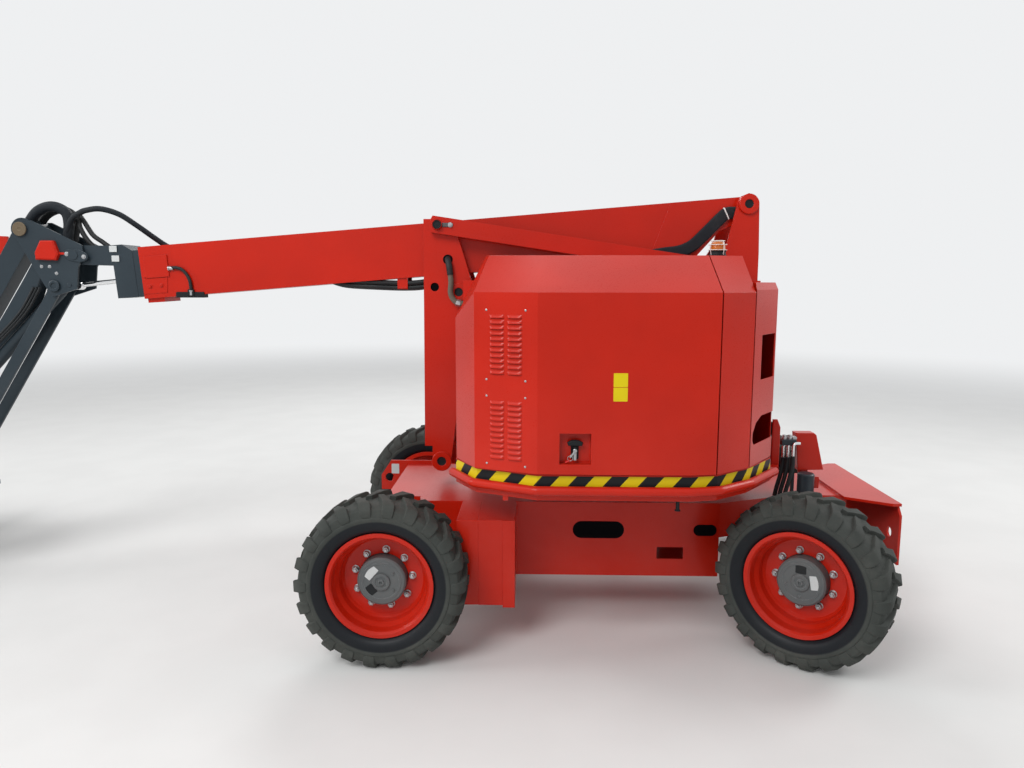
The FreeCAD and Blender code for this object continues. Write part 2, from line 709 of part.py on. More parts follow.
def make_arms():
    """Two stacked parallelograms in a Z: lower arm and link, knuckle, upper arm and link."""
    eye = size.arm_pin + size.pin_clearance
    length = size.arm_length
    lower_x, lower_z = lower_pivot()

    # Modelled level, from the rear pin forwards, and then turned to its rest angle.
    arm = new_body("lower_arm", lower_x, 0, lower_z, -size.lower_rest)
    side_plate(arm, [(-length, -42), (-400, -80), (0, -80), (60, 0), (0, 80), (-400, 80),
                     (-length, 42), (-length - 42, 0)], 0, 2 * size.arm_half)
    wall = size.arm_wall
    side_cut(arm, [(60 - length, wall - 45), (-400, wall - 80), (-70, wall - 80),
                   (-70, 80 - wall), (-400, 80 - wall), (60 - length, 45 - wall)], 0,
             2 * (size.arm_half - wall))
    side_boss(arm, 0, 0, 55, 0, 2 * size.tower_y - 18)
    side_boss(arm, -length, 0, 45, 0, 2 * size.fork_y - size.fork_plate - 1)
    side_holes(arm, [(0, 0, eye), (-length, 0, eye)])

    link = new_body("lower_link", lower_x + size.lower_link_dx, 0,
                    lower_z + size.lower_link_dz, -size.lower_rest)
    side_plate(link, [(-length, -32), (0, -32), (32, 0), (0, 32), (-length, 32),
                      (-length - 32, 0)], 0, 80)
    side_boss(link, 0, 0, 42, 0, 2 * size.tower_y - 18)
    side_boss(link, -length, 0, 42, 0, 2 * size.fork_y - size.fork_plate - 1)
    side_holes(link, [(0, 0, eye), (-length, 0, eye)])

    knuckle = new_body("front_knuckle", size.knuckle_x, 0, size.knuckle_z)
    arm_x = size.upper_arm_x - size.knuckle_x
    arm_z = size.upper_arm_z - size.knuckle_z
    link_x = arm_x + size.upper_link_dx
    link_z = arm_z + size.upper_link_dz
    post = [(-48, -10), (-48, 82), (-88, 82), (-80, link_z + 32), (link_x + 55, link_z + 32),
            (arm_x + 5, 1150), (arm_x + 72, 930), (arm_x + 66, arm_z - 90), (90, 300),
            (50, 0), (30, -45), (-30, -45)]
    for _, sign in SIDES:
        side_plate(knuckle, post, sign * size.fork_y, size.fork_plate)
    side_plate(knuckle, box_outline(-84, -74, 150, 900), 0, 2 * size.fork_y)
    for x, z in ((0, 0), (size.lower_link_dx, size.lower_link_dz), (arm_x, arm_z),
                 (size.tower_base_dx, size.tower_base_dz)):
        side_boss(knuckle, x, z, size.arm_pin, 0, 2 * size.fork_y)
    side_holes(knuckle, [(-26, 918, 22), (43, 1055, 17)])
    for _, sign in SIDES:
        side_boss(knuckle, link_x, link_z, size.arm_pin, sign * (size.fork_y + 27), 68)

    arm = new_body("upper_arm", size.upper_arm_x, 0, size.upper_arm_z, size.upper_rest)
    side_plate(arm, [(-55, 0), (0, -55), (1050, -80), (length, -60), (length + 55, 0),
                     (length, 55), (700, 80), (0, 62)], 0, 2 * size.arm_half)
    side_cut(arm, [(70, wall - 56), (1050, wall - 80), (length - 70, wall - 62),
                   (length - 70, 56 - wall), (700, 80 - wall), (70, 62 - wall)], 0,
             2 * (size.arm_half - wall))
    side_boss(arm, 0, 0, 55, 0, 2 * size.fork_y - size.fork_plate - 1)
    side_boss(arm, length, 0, 55, 0, 2 * size.fork_y - size.fork_plate - 1)
    lug_x, lug_z = size.tower_lug_x, size.tower_lug_z
    for _, sign in SIDES:
        side_plate(arm, [(lug_x - 35, lug_z - 35), (lug_x + 35, lug_z - 35), (lug_x + 80, -55),
                         (lug_x - 80, -55)], sign * 47, 12)
        side_boss(arm, lug_x, lug_z, size.arm_pin, sign * 50, 12)
    side_holes(arm, [(0, 0, eye), (length, 0, eye)])

    bar_y = size.fork_y + size.fork_plate / 2 + 24
    for side, sign in SIDES:
        link = new_body("upper_link_" + side, size.upper_arm_x + size.upper_link_dx, 0,
                        size.upper_arm_z + size.upper_link_dz, size.upper_rest)
        side_plate(link, [(-48, 0), (-30, -42), (length + 20, -42), (length + 45, 0),
                          (length + 20, 42), (-30, 42)], sign * bar_y, 36)
        side_holes(link, [(0, 0, eye), (length, 0, eye)])

    upright = new_body("rear_upright", size.boom_pivot_x, 0, size.boom_pivot_z)
    low_x = size.upper_arm_x + length * cosine(size.upper_rest) - size.boom_pivot_x
    low_z = size.upper_arm_z - length * sine(size.upper_rest) - size.boom_pivot_z
    link_x = low_x + size.upper_link_dx
    link_z = low_z + size.upper_link_dz
    plate = [(-55, 0), (-38, 38), (0, 54), (38, 38), (54, 0), (61, -240), (61, low_z - 20),
             (20, low_z - 60), (-40, low_z - 60), (link_x - 45, link_z - 60),
             (link_x - 45, link_z + 60), (-100, -195)]
    for _, sign in SIDES:
        side_plate(upright, plate, sign * size.fork_y, size.fork_plate)
        side_boss(upright, link_x, link_z, size.arm_pin, sign * (size.fork_y + 27), 68)
    side_boss(upright, 0, 0, size.boom_pin, 0, 2 * size.fork_y + 30)
    side_boss(upright, low_x, low_z, size.arm_pin, 0, 2 * size.fork_y)
    side_boss(upright, size.lift_base_dx, size.lift_base_dz, size.arm_pin, 0, 2 * size.fork_y)
    cross = [(-size.fork_y, -330), (size.fork_y, -330), (size.fork_y, -560), (-size.fork_y, -560)]
    cross_plate(upright, cross, 40, 14)


def make_boom():
    """Outer boom, telescoping inner boom with the jib head's nose, and the hose tray."""
    boom = new_body("boom_outer", size.boom_pivot_x, 0, size.boom_pivot_z, -size.boom_rest)
    top = size.boom_top
    low = size.boom_bottom
    wall = size.boom_wall
    front = size.boom_front
    side_plate(boom, [(front, low), (-400, low), (-141, -122), (40, -60), (50, 0), (30, top),
                      (front, top)], 0, 2 * size.boom_half)
    bore = new_sketch(boom, "YZ", front)
    half = size.boom_half - wall
    add_outline(bore, [(-half, low + wall), (half, low + wall), (half, top - wall),
                       (-half, top - wall)])
    cut(boom, bore, 2750, both=False, back=True)
    for _, sign in SIDES:
        side_plate(boom, [(-505, low - 8), (-261, low - 8), (-141, -122), (20, -60),
                          (30, top - 6), (-380, top - 6)], sign * (size.boom_half + 3), 8)
        side_plate(boom, box_outline(front + 25, front + 150, -122, -8),
                   sign * (size.boom_half + 3), 8)
        lug_x, lug_z = size.lift_lug_x, size.lift_lug_z
        side_plate(boom, [(lug_x - 40, lug_z - 35), (lug_x + 40, lug_z - 35),
                          (lug_x + 110, low + 1), (lug_x - 110, low + 1)], sign * 47, 12)
        side_boss(boom, lug_x, lug_z, size.arm_pin, sign * 50, 12)
    side_plate(boom, box_outline(front + 10, front + 100, low - 22, low + 1), 0, 180)
    side_boss(boom, 0, 0, 46, 0, 2 * size.fork_y - size.fork_plate - 1)
    side_holes(boom, [(0, 0, size.boom_pin + size.pin_clearance)])

    inner = new_body("boom_inner", size.boom_pivot_x, 0, size.boom_pivot_z, -size.boom_rest)
    head = size.inner_front
    half = size.inner_half
    gap = size.pad_gap
    tube_top = top - wall - gap
    tube_low = low + wall + gap
    reach = half + size.clearance
    for z0, z1 in ((low + wall - 1, tube_low - size.clearance),
                   (tube_top + size.clearance, top - wall + 1)):
        side_plate(boom, box_outline(front, front + 110, z0, z1), 0, 120)
    for _, sign in SIDES:
        pad_half = (size.boom_half - wall + 1 - reach) / 2
        side_plate(boom, box_outline(front, front + 110, -150, -40), sign * (reach + pad_half),
                   2 * pad_half)
    side_plate(inner, box_outline(head, size.inner_rear, tube_low, tube_top), 0, 2 * half)
    bore = new_sketch(inner, "YZ", head + 10)
    add_outline(bore, [(-half + wall, tube_low + wall), (half - wall, tube_low + wall),
                       (half - wall, tube_top - wall), (-half + wall, tube_top - wall)])
    cut(inner, bore, 2650, both=False, back=True)
    side_plate(inner, [(head, tube_low), (head + 110, tube_low), (head + 110, tube_top),
                       (head + 60, size.nose_z + 34), (head, size.nose_z + 34)], 0, 2 * half + 4)
    side_plate(inner, [(size.nose_x, size.nose_z - 50), (head + 1, size.nose_z - 72),
                       (head + 1, size.nose_z + 34), (size.nose_x, size.nose_z + 50),
                       (size.nose_x - 50, size.nose_z)], 0, 2 * size.head_y - 26)
    slot = new_sketch(inner, "YZ", head - 170)
    add_outline(slot, [(-34, -170), (34, -170), (34, -10), (-34, -10)])
    cut(inner, slot, 365, both=False, back=True)
    for _, sign in SIDES:
        side_cut(inner, [(head - 5, -135), (head - 5, tube_low - 5), (head + 80, tube_low - 5)],
                 sign * 67, 24)
        slide = (size.boom_half - wall - half - size.clearance + 1) / 2
        side_plate(inner, box_outline(size.inner_rear - 110, size.inner_rear, -150, -40),
                   sign * (half - 1 + slide), 2 * slide)
    for z0, z1 in ((low + wall + size.clearance, tube_low + 1),
                   (tube_top - 1, top - wall - size.clearance)):
        side_plate(inner, box_outline(size.inner_rear - 110, size.inner_rear, z0, z1), 0, 120)
    side_holes(inner, [(size.nose_x, size.nose_z, size.jib_pin + 5 + size.pin_clearance)])
    side_boss(inner, size.level_lug_x, size.level_lug_z, 12, 0, 2 * half - 4)


def nose():
    """Jib head pin from the slewing axis, worked out along the sloping boom."""
    slope = size.boom_rest
    x = size.boom_pivot_x + size.nose_x * cosine(slope) - size.nose_z * sine(slope)
    z = size.boom_pivot_z + size.nose_x * sine(slope) + size.nose_z * cosine(slope)
    return x, z


def make_jib():
    """Levelled jib head, jib arm and links, platform bracket."""
    nose_x, nose_z = nose()
    head = new_body("jib_head", nose_x, 0, nose_z)
    arm_x, arm_z = size.jib_arm_dx, size.jib_arm_dz
    link_x = arm_x + size.jib_link_dx
    link_z = arm_z + size.jib_link_dz
    outline = [(arm_x - 52, arm_z - 10), (arm_x - 30, arm_z + 45), (arm_x + 60, arm_z + 45),
               (45, 52), (55, 0), (20, -60), (5, -178), (link_x - 15, link_z - 58),
               (link_x - 55, link_z), (arm_x - 20, arm_z - 60)]
    for _, sign in SIDES:
        side_plate(head, outline, sign * size.head_y, size.head_plate)
    side_boss(head, 0, 0, size.jib_pin + 5, 0, 2 * size.head_y + 30)
    side_boss(head, arm_x, arm_z, size.jib_pin + 18, 0, 2 * size.head_y + 26)
    side_boss(head, link_x, link_z, size.jib_pin, 0, 2 * size.head_y + 26)
    for _, sign in SIDES:
        side_boss(head, size.level_eye_dx, size.level_eye_dz, 12, sign * (size.head_y + 2), 14)

    eye = size.jib_pin + size.pin_clearance
    length = size.jib_length
    arm = new_body("jib_arm", nose_x + arm_x, 0, nose_z + arm_z, -size.jib_rest)
    side_plate(arm, [(-length - 45, 0), (-length, -45), (0, -56), (56, 0), (0, 56),
                     (-length, 45)], 0, 2 * size.jib_half)
    wall = size.jib_wall
    side_cut(arm, [(65 - length, wall - 45), (-70, wall - 54), (-70, 54 - wall),
                   (65 - length, 45 - wall)], 0, 2 * (size.jib_half - wall))
    side_boss(arm, 0, 0, 60, 0, 2 * size.head_y - size.head_plate - 1)
    side_boss(arm, -length, 0, 45, 0, 2 * size.head_y - size.head_plate - 1)
    lug_x, lug_z = size.jib_lug_x, size.jib_lug_z
    for _, sign in SIDES:
        side_plate(arm, [(lug_x + 70, -40), (lug_x - 70, -40), (lug_x - 30, lug_z - 30),
                         (lug_x + 30, lug_z - 30)], sign * 38, 10)
        side_boss(arm, lug_x, lug_z, size.jib_pin, sign * 40, 12)
    side_holes(arm, [(0, 0, size.jib_pin + 18 + size.pin_clearance), (-length, 0, eye)])

    link = new_body("jib_link", nose_x + link_x, 0, nose_z + link_z, -size.jib_rest)
    for _, sign in SIDES:
        side_plate(link, [(-length - 32, 0), (-length - 16, -30), (16, -30), (32, 0), (16, 30),
                          (-length - 16, 30)], sign * (size.jib_half + 17), 14)
        side_plate(link, [(124 - length, -25), (144 - length, -60), (176 - length, -60),
                          (196 - length, -25)], sign * (size.jib_half + 17), 14)
    side_boss(link, 160 - length, -46, 12, 0, 2 * size.jib_half + 30)
    side_holes(link, [(0, 0, eye), (-length, 0, eye)])

    reach_x = -length * cosine(size.jib_rest)
    reach_z = -length * sine(size.jib_rest)
    bracket = new_body("platform_bracket", nose_x + arm_x + reach_x, 0,
                       nose_z + arm_z + reach_z)
    link_x = size.jib_link_dx
    link_z = size.jib_link_dz
    outline = [(size.rotator_dx, -60), (-40, 50), (40, 50), (link_x + 40, link_z + 20),
               (link_x + 20, link_z - 40), (link_x - 40, link_z - 40), (size.rotator_dx, -330)]
    for _, sign in SIDES:
        side_plate(bracket, outline, sign * size.head_y, size.head_plate)
    side_boss(bracket, 0, 0, size.jib_pin, 0, 2 * size.head_y)
    for _, sign in SIDES:
        side_boss(bracket, link_x, link_z, size.jib_pin, sign * (size.head_y - 12), 36)
    upright_post(bracket, size.rotator_dx, 0, 88, -330, 270)
    seat = size.basket_floor_z + 30 + size.clearance - (nose_z + arm_z + reach_z)
    upright_post(bracket, size.rotator_dx, 0, 60, seat, -325 - seat)


def make_platform():
    """Platform that turns on the bracket: floor, tube rails, swinging gate, control box."""
    nose_x, nose_z = nose()
    x = (nose_x + size.jib_arm_dx - size.jib_length * cosine(size.jib_rest) +
         size.rotator_dx)
    floor = new_body("platform_floor", x, 0, size.basket_floor_z)
    back = -size.basket_gap
    front = back - size.basket_depth
    half = size.basket_half
    flat_plate(floor, [(front, -half), (back, -half), (back, half), (front, half)], 0, 30)
    frame = size.floor_frame
    bay = (size.basket_depth - 3 * frame) / 2
    tray = new_sketch(floor, "XY")
    for x0 in (front + frame, front + 2 * frame + bay):
        for y0 in (frame - half, frame / 2):
            add_outline(tray, box_outline(x0, x0 + bay, y0, y0 + half - 1.5 * frame))
    cut(floor, tray, 30 - size.floor_plate, both=False, back=True)
    flat_plate(floor, [(back - 1, -90), (70, -70), (70, 70), (back - 1, 90)], 0, 30)
    tube = size.rail_radius
    edge = half - tube
    back_x = back - tube
    front_x = front + tube
    top = size.rail_height
    gate_in = -edge + size.gate_width
    rails = new_body("platform_rails", x, 0, size.basket_floor_z)
    foot = 30 + size.clearance + tube
    rows = (
        # height of the rail, whether it spans the gate
        (foot, True),
        (top / 2, False),
        (top - tube, False),
    )
    for z, spans in rows:
        tube_y(rails, front_x, z, -edge, edge, tube - 1)
        for _, sign in SIDES:
            tube_x(rails, sign * edge, z, front_x, back_x, tube)
        tube_y(rails, back_x, z, -edge if spans else gate_in, edge, tube - 1)
        if spans:
            posts = [(px, sign * edge) for px in (front_x, back_x) for _, sign in SIDES]
            posts += [(front_x, 0), (back_x, gate_in), (back_x, edge / 2)]
            for px, py in posts:
                upright_post(rails, px, py, tube - 2, foot, top - tube - foot)
    board_z = 30 + size.clearance
    for _, sign in SIDES:
        side_plate(rails, box_outline(front_x, back_x, board_z, board_z + size.toe_board),
                   sign * (edge + tube - 2), 3)
    for px, y0, y1 in ((front_x - tube + 0.5, -edge, edge), (back_x + tube - 3.5, gate_in, edge)):
        cross_plate(rails, box_outline(y0, y1, board_z, board_z + size.toe_board), px, 3)
    gate = new_body("platform_gate", x + back_x, gate_in, size.basket_floor_z)
    reach = -(size.gate_width - 2 * tube - 24)
    start = -(2 * tube + 6)
    bar = 12
    for z in (foot + 90, top / 2, top - 60):
        tube_y(gate, 0, z, reach, start, bar)
    for py in (reach, start):
        upright_post(gate, 0, py, bar - 1, foot + 78, top - 48 - (foot + 78))
    for z in (foot + 150, top - 120):
        tube_y(gate, 0, z, start, 2 - tube - size.clearance, 9)
    box = new_body("control_box", x, 0, size.basket_floor_z)
    seat = front_x + tube - 1 + size.clearance
    side_plate(box, [(seat, top - 190), (front_x + 150, top - 190), (front_x + 190, top - 60),
                     (seat, top + 20)], 0, 440)


def tube_x(body, y, z, x0, x1, radius):
    """A straight tube along the machine."""
    sketch = new_sketch(body, "YZ", x0)
    add_circle(sketch, y, z, radius)
    return pad(body, sketch, x1 - x0)


def tube_y(body, x, z, y0, y1, radius):
    """A straight tube across the machine."""
    sketch = new_sketch(body, "XZ", -as_size(y1))
    add_circle(sketch, x, z, radius)
    return pad(body, sketch, y1 - y0)


def turned_x(body, profile):
    """A body of revolution about X, its profile in (along X, radius) points."""
    sketch = new_sketch(body, "XZ")
    add_outline(sketch, profile)
    feature = body.newObject("PartDesign::Revolution", body.Label + "_turning")
    feature.Profile = sketch
    feature.ReferenceAxis = (sketch, ["H_Axis"])
    feature.Angle = 360
    sketch.Visibility = False
    return feature


def make_cylinder(label, base, eye, barrel_radius, rod_radius, pin, eye_half, room, inside=None):
    """A hydraulic cylinder from its base pin to its rod's eye, room between barrel and eye."""
    dx = eye[0] - base[0]
    dz = eye[1] - base[1]
    turn = -heading(dx, dz)
    length = distance(dx, dz)
    barrel_end = length - room
    barrel = new_body(label + "_barrel", base[0], 0, base[1], turn)
    turned_x(barrel, [(-8, 0), (-8, barrel_radius - 8), (40, barrel_radius),
                      (barrel_end, barrel_radius), (barrel_end, 0)])
    side_boss(barrel, 0, 0, pin + 14, 0, 2 * eye_half)
    side_holes(barrel, [(0, 0, pin + size.pin_clearance)])
    bore = new_sketch(barrel, "YZ", barrel_end)
    add_circle(bore, 0, 0, rod_radius + size.clearance)
    cut(barrel, bore, barrel_end - pin - 30, both=False)
    rod = new_body(label + "_rod", base[0], 0, base[1], turn)
    start = pin + 34 if inside is None else barrel_end - inside
    sketch = new_sketch(rod, "YZ", start)
    add_circle(sketch, 0, 0, rod_radius)
    pad(rod, sketch, length - start)
    side_boss(rod, length, 0, pin + 14, 0, 2 * eye_half)


def make_cylinders():
    """Tower, lift, levelling and jib cylinders with their chromed rods."""
    slope = size.upper_rest
    eye_x = size.tower_lug_x * cosine(slope) + size.tower_lug_z * sine(slope)
    eye_z = size.tower_lug_z * cosine(slope) - size.tower_lug_x * sine(slope)
    make_cylinder("tower_cylinder",
                  (size.knuckle_x + size.tower_base_dx, size.knuckle_z + size.tower_base_dz),
                  (size.upper_arm_x + eye_x, size.upper_arm_z + eye_z), 45, 22, size.arm_pin,
                  38, 130)
    slope = size.boom_rest
    eye_x = size.lift_lug_x * cosine(slope) - size.lift_lug_z * sine(slope)
    eye_z = size.lift_lug_x * sine(slope) + size.lift_lug_z * cosine(slope)
    make_cylinder("lift_cylinder",
                  (size.boom_pivot_x + size.lift_base_dx, size.boom_pivot_z + size.lift_base_dz),
                  (size.boom_pivot_x + eye_x, size.boom_pivot_z + eye_z), 46, 25, size.arm_pin,
                  38, 130)
    base_x = size.level_lug_x * cosine(slope) - size.level_lug_z * sine(slope)
    base_z = size.level_lug_x * sine(slope) + size.level_lug_z * cosine(slope)
    nose_x, nose_z = nose()
    make_cylinder("level_cylinder",
                  (size.boom_pivot_x + base_x, size.boom_pivot_z + base_z),
                  (nose_x + size.level_eye_dx, nose_z + size.level_eye_dz), 26, 13, 12, 24, 230,
                  60)
    arm_x = nose_x + size.jib_arm_dx
    arm_z = nose_z + size.jib_arm_dz
    slope = size.jib_rest
    eye_x = size.jib_lug_x * cosine(slope) - size.jib_lug_z * sine(slope)
    eye_z = size.jib_lug_x * sine(slope) + size.jib_lug_z * cosine(slope)
    make_cylinder("jib_cylinder",
                  (arm_x + size.jib_link_dx, arm_z + size.jib_link_dz),
                  (arm_x + eye_x, arm_z + eye_z), 34, 17, size.jib_pin, 26, 90, 640)


def make_fittings():
    """Beacon, rear valve cover and the tube round the turntable's edge."""
    beacon = new_body("beacon", 534, -420, size.cowl_top_z)
    upright_post(beacon, 0, 0, 38, size.clearance, 22)
    upright_post(beacon, 0, 0, 33, 21, 44)
    cover = new_body("valve_cover")
    top = size.deck_z
    leg = top + size.clearance
    side_plate(cover, [(1060, leg), (1120, leg), (1174, 757), (1100, 950), (1023, 950),
                       (1069, 757)], 0, 400)
    side_cut(cover, [(1050, leg - 10), (1122, leg - 10), (1166, 754), (1095, 942),
                     (1030, 942), (1075, 757)], 0, 388)


def make_all():
    make_chassis()
    make_axles()
    make_wheels()
    make_slewing()
    make_turntable()
    make_rim_bands()
    make_cowls()
    make_masses()
    make_arms()
    make_boom()
    make_jib()
    make_platform()
    make_cylinders()
    make_fittings()


def check_document():
    """Stop on a failed feature or a bad shape before anything is written."""
    doc.recompute()
    for item in doc.Objects:
        if "Invalid" in item.State or "Error" in item.State:
            raise RuntimeError("failed: %s %s" % (item.Name, item.State))
    for item in PARTS:
        if item.Shape.isNull() or not item.Shape.isValid():
            raise RuntimeError("bad shape: " + item.Label)


make_all()
check_document()
os.makedirs("parts", exist_ok=True)
for item in PARTS:
    item.Shape.exportStep("parts/%s.step" % item.Label)
print("pieces:", len(PARTS))
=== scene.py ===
import json
import math

import bmesh
import bpy
import numpy as np
from bpy.props import FloatProperty, FloatVectorProperty, IntProperty, PointerProperty
from bpy.types import NodeSocket, Operator, Panel, PropertyGroup
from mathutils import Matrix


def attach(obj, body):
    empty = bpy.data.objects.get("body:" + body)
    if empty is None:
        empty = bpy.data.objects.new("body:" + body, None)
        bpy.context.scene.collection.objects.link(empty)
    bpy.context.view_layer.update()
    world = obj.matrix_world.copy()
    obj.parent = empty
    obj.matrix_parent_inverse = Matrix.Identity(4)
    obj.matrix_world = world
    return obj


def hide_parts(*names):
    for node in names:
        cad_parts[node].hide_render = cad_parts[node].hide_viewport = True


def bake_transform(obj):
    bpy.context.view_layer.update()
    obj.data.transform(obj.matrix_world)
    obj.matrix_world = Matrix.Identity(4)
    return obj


bl_info = {
    "name": "Articulating boom lift",
    "version": (1, 0, 0),
    "blender": (4, 5, 0),
    "location": "3D View > Sidebar > Boom lift",
    "description": "Tyres, fittings, hoses, finishes and studio for the packed boom lift",
    "category": "Add Mesh",
}

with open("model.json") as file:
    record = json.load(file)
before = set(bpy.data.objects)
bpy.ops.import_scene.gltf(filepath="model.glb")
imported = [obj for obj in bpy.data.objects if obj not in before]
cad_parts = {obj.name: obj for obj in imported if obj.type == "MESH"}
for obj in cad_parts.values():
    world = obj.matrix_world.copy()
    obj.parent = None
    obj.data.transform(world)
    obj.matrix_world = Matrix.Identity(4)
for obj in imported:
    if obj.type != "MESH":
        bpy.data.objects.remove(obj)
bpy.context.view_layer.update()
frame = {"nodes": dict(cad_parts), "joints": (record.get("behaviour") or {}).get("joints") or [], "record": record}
PIVOT = {j["name"]: np.array(j["pos_m"]) for j in frame["joints"] if "pos_m" in j}
AXIS = {j["name"]: np.array(j["axis"], float) for j in frame["joints"]}
SLEW_X = float(PIVOT["slew"][0])

X, Y, Z = np.eye(3)
SIDES = (("left", -1.0), ("right", 1.0))

# Places in the CAD nodes. Points are in millimetres from the slewing axis and the ground; a
# finished piece is in metres.
DECK_Z = 627
CHASSIS_Y = 390
TURNTABLE_Y = 905
TABLE_EDGE = [(-700, 600), (-590, 780), (-320, TURNTABLE_Y), (340, TURNTABLE_Y), (460, 880),
              (620, 755), (790, 540)]
STRIPE_TOP = 0.893
HOOD_Y = 925
HOOD_FOLD = 1680
HOOD_TOP = 1842
RECESS_Y = HOOD_Y - 42
LATCH_X = -157
BOOM_Y = 105
HEAD_Y = 92
ARM_FACE_Y = 164.5
BACKDROP = (0.86, 0.87, 0.88, 1)


def metres(rows):
    """Rows of points in millimetres from the slewing axis, in metres in the frame."""
    return np.asarray(rows, float) / 1000 + (SLEW_X, 0, 0)


def pivot(joint):
    """A joint's centre in millimetres from the slewing axis."""
    return (PIVOT[joint] - (SLEW_X, 0, 0)) * 1000


def node_points(name):
    """All points of a CAD node in millimetres from the slewing axis."""
    mesh = frame["nodes"][name].data
    rows = np.empty(len(mesh.vertices) * 3, np.float32)
    mesh.vertices.foreach_get("co", rows)
    return (rows.reshape(-1, 3).astype(float) - (SLEW_X, 0, 0)) * 1000


def node_faces(name):
    """A CAD node's faces as lists of point numbers."""
    return [list(face.vertices) for face in frame["nodes"][name].data.polygons]


def node_box(name):
    """A CAD node's lowest and highest corner in millimetres from the slewing axis."""
    points = node_points(name)
    return points.min(0), points.max(0)


def unit(rows):
    """Each row divided by its length."""
    rows = np.asarray(rows, float)
    return rows / np.linalg.norm(rows, axis=-1, keepdims=True)


# Surfaces


def grid_faces(rows, columns, around=False):
    """Quads of a grid: point (i, j) joins (i + 1, j) and (i, j + 1), the last column the first
    where the grid goes around."""
    i = np.arange(rows - 1)[:, None]
    j = np.arange(columns if around else columns - 1)[None, :]
    k = (j + 1) % columns
    quads = (i * columns + j, (i + 1) * columns + j, (i + 1) * columns + k, i * columns + k)
    return np.stack(np.broadcast_arrays(*quads), -1).reshape(-1, 4).tolist()


def loft(rings):
    """A closed skin through rings of equal length, capped at its first and its last ring."""
    rings = np.asarray(rings, float)
    count, size = rings.shape[:2]
    caps = [list(range(size))[::-1], list(range((count - 1) * size, count * size))]
    return rings.reshape(-1, 3), grid_faces(count, size, around=True) + caps


def lathe(profile, segments=32, around=False):
    """Revolution about local z: (height, radius) goes to (r cos t, r sin t, height). With
    around, the profile's end joins its start."""
    profile = np.asarray(profile, float)
    if around:
        profile = np.vstack([profile, profile[:1]])
    t = np.linspace(0, 2 * np.pi, segments, endpoint=False)
    height, radius = profile[:, :1], profile[:, 1:]
    flat = np.broadcast_to(height, (len(profile), segments))
    rows = np.stack([radius * np.cos(t), radius * np.sin(t), flat], -1)
    return rows.reshape(-1, 3), grid_faces(len(profile), segments, around=True)


def inset(outline, depth):
    """The outline moved inwards by depth: each corner goes along the sum of its two edge
    normals, divided by one plus their dot product."""
    outline = np.asarray(outline, float)
    after = unit(np.roll(outline, -1, 0) - outline)
    x, y = outline.T
    area = np.sum(x * np.roll(y, -1) - np.roll(x, -1) * y)
    normal = np.stack([-after[:, 1], after[:, 0]], -1) * np.sign(area)
    before = np.roll(normal, 1, 0)
    share = 1 + np.sum(normal * before, -1, keepdims=True)
    return outline + depth * (normal + before) / share


def prism(outline, low, high, bevel=0.0):
    """A plate of the outline from z low to z high, its upper edge cut off by bevel."""
    outline = np.asarray(outline, float)
    levels = [(low, 0.0), (high, 0.0)]
    if bevel:
        levels = [(low, 0.0), (high - bevel, 0.0), (high, bevel)]
    return loft([np.column_stack([inset(outline, cut) if cut else outline,
                                  np.full(len(outline), z)]) for z, cut in levels])


def rounded(width, height, radius, steps=5):
    """A rectangle round the origin with quarter circles in its corners."""
    t = np.linspace(0, np.pi / 2, steps)[None, :] + np.arange(4)[:, None] * np.pi / 2
    corners = np.array([(1, 1), (-1, 1), (-1, -1), (1, -1)])
    middle = corners * (width / 2 - radius, height / 2 - radius)
    ring = middle[:, None, :] + radius * np.stack([np.cos(t), np.sin(t)], -1)
    return ring.reshape(-1, 2)


def circle(radius, count=24, squash=1.0):
    """Points (r cos t, squash r sin t)."""
    t = np.linspace(0, 2 * np.pi, count, endpoint=False)
    return np.stack([radius * np.cos(t), squash * radius * np.sin(t)], -1)


def box(x0, x1, y0, y1, z0, z1, bevel=0.0):
    """A block between two corners, its upper edge cut off by bevel."""
    return prism([(x0, y0), (x1, y0), (x1, y1), (x0, y1)], z0, z1, bevel)


def hexagon(radius, levels):
    """A six-sided skin through (size, z) levels."""
    return loft([np.column_stack([circle(radius, 6) * k, np.full(6, z)]) for k, z in levels])


def bolt(radius=8.0, height=6.0):
    """A washer and a hexagon head with a chamfered top, standing on z 0."""
    washer = lathe([(-1, 0), (-1, radius * 1.5), (1.6, radius * 1.5), (1.6, 0)], 18)
    return joined([washer, hexagon(radius, ((1, 1), (1, height), (0.84, height + 1.2)))])


def smooth(points, count=48):
    """Catmull-Rom line: on each span the point is a cubic of its four neighbours."""
    p = np.asarray(points, float)
    p = np.vstack([2 * p[0] - p[1], p, 2 * p[-1] - p[-2]])
    s = np.linspace(0, len(p) - 3, count)
    i = np.minimum(s.astype(int), len(p) - 4)
    t = (s - i)[:, None]
    a, b, c, d = p[i], p[i + 1], p[i + 2], p[i + 3]
    return 0.5 * (2 * b + (c - a) * t + (2 * a - 5 * b + 4 * c - d) * t ** 2
                  + (3 * b - a - 3 * c + d) * t ** 3)


def eased(points, reach, steps=5):
    """A run of straight lines whose corners are parabolas from reach before to reach after."""
    p = np.asarray(points, float)
    way = unit(np.diff(p, axis=0))
    start = (p[1:-1] - reach * way[:-1])[:, None]
    end = (p[1:-1] + reach * way[1:])[:, None]
    t = np.linspace(0, 1, steps)[None, :, None]
    bends = start * (1 - t) ** 2 + 2 * p[1:-1, None] * t * (1 - t) + end * t ** 2
    return np.vstack([p[:1], bends.reshape(-1, 3), p[-1:]])


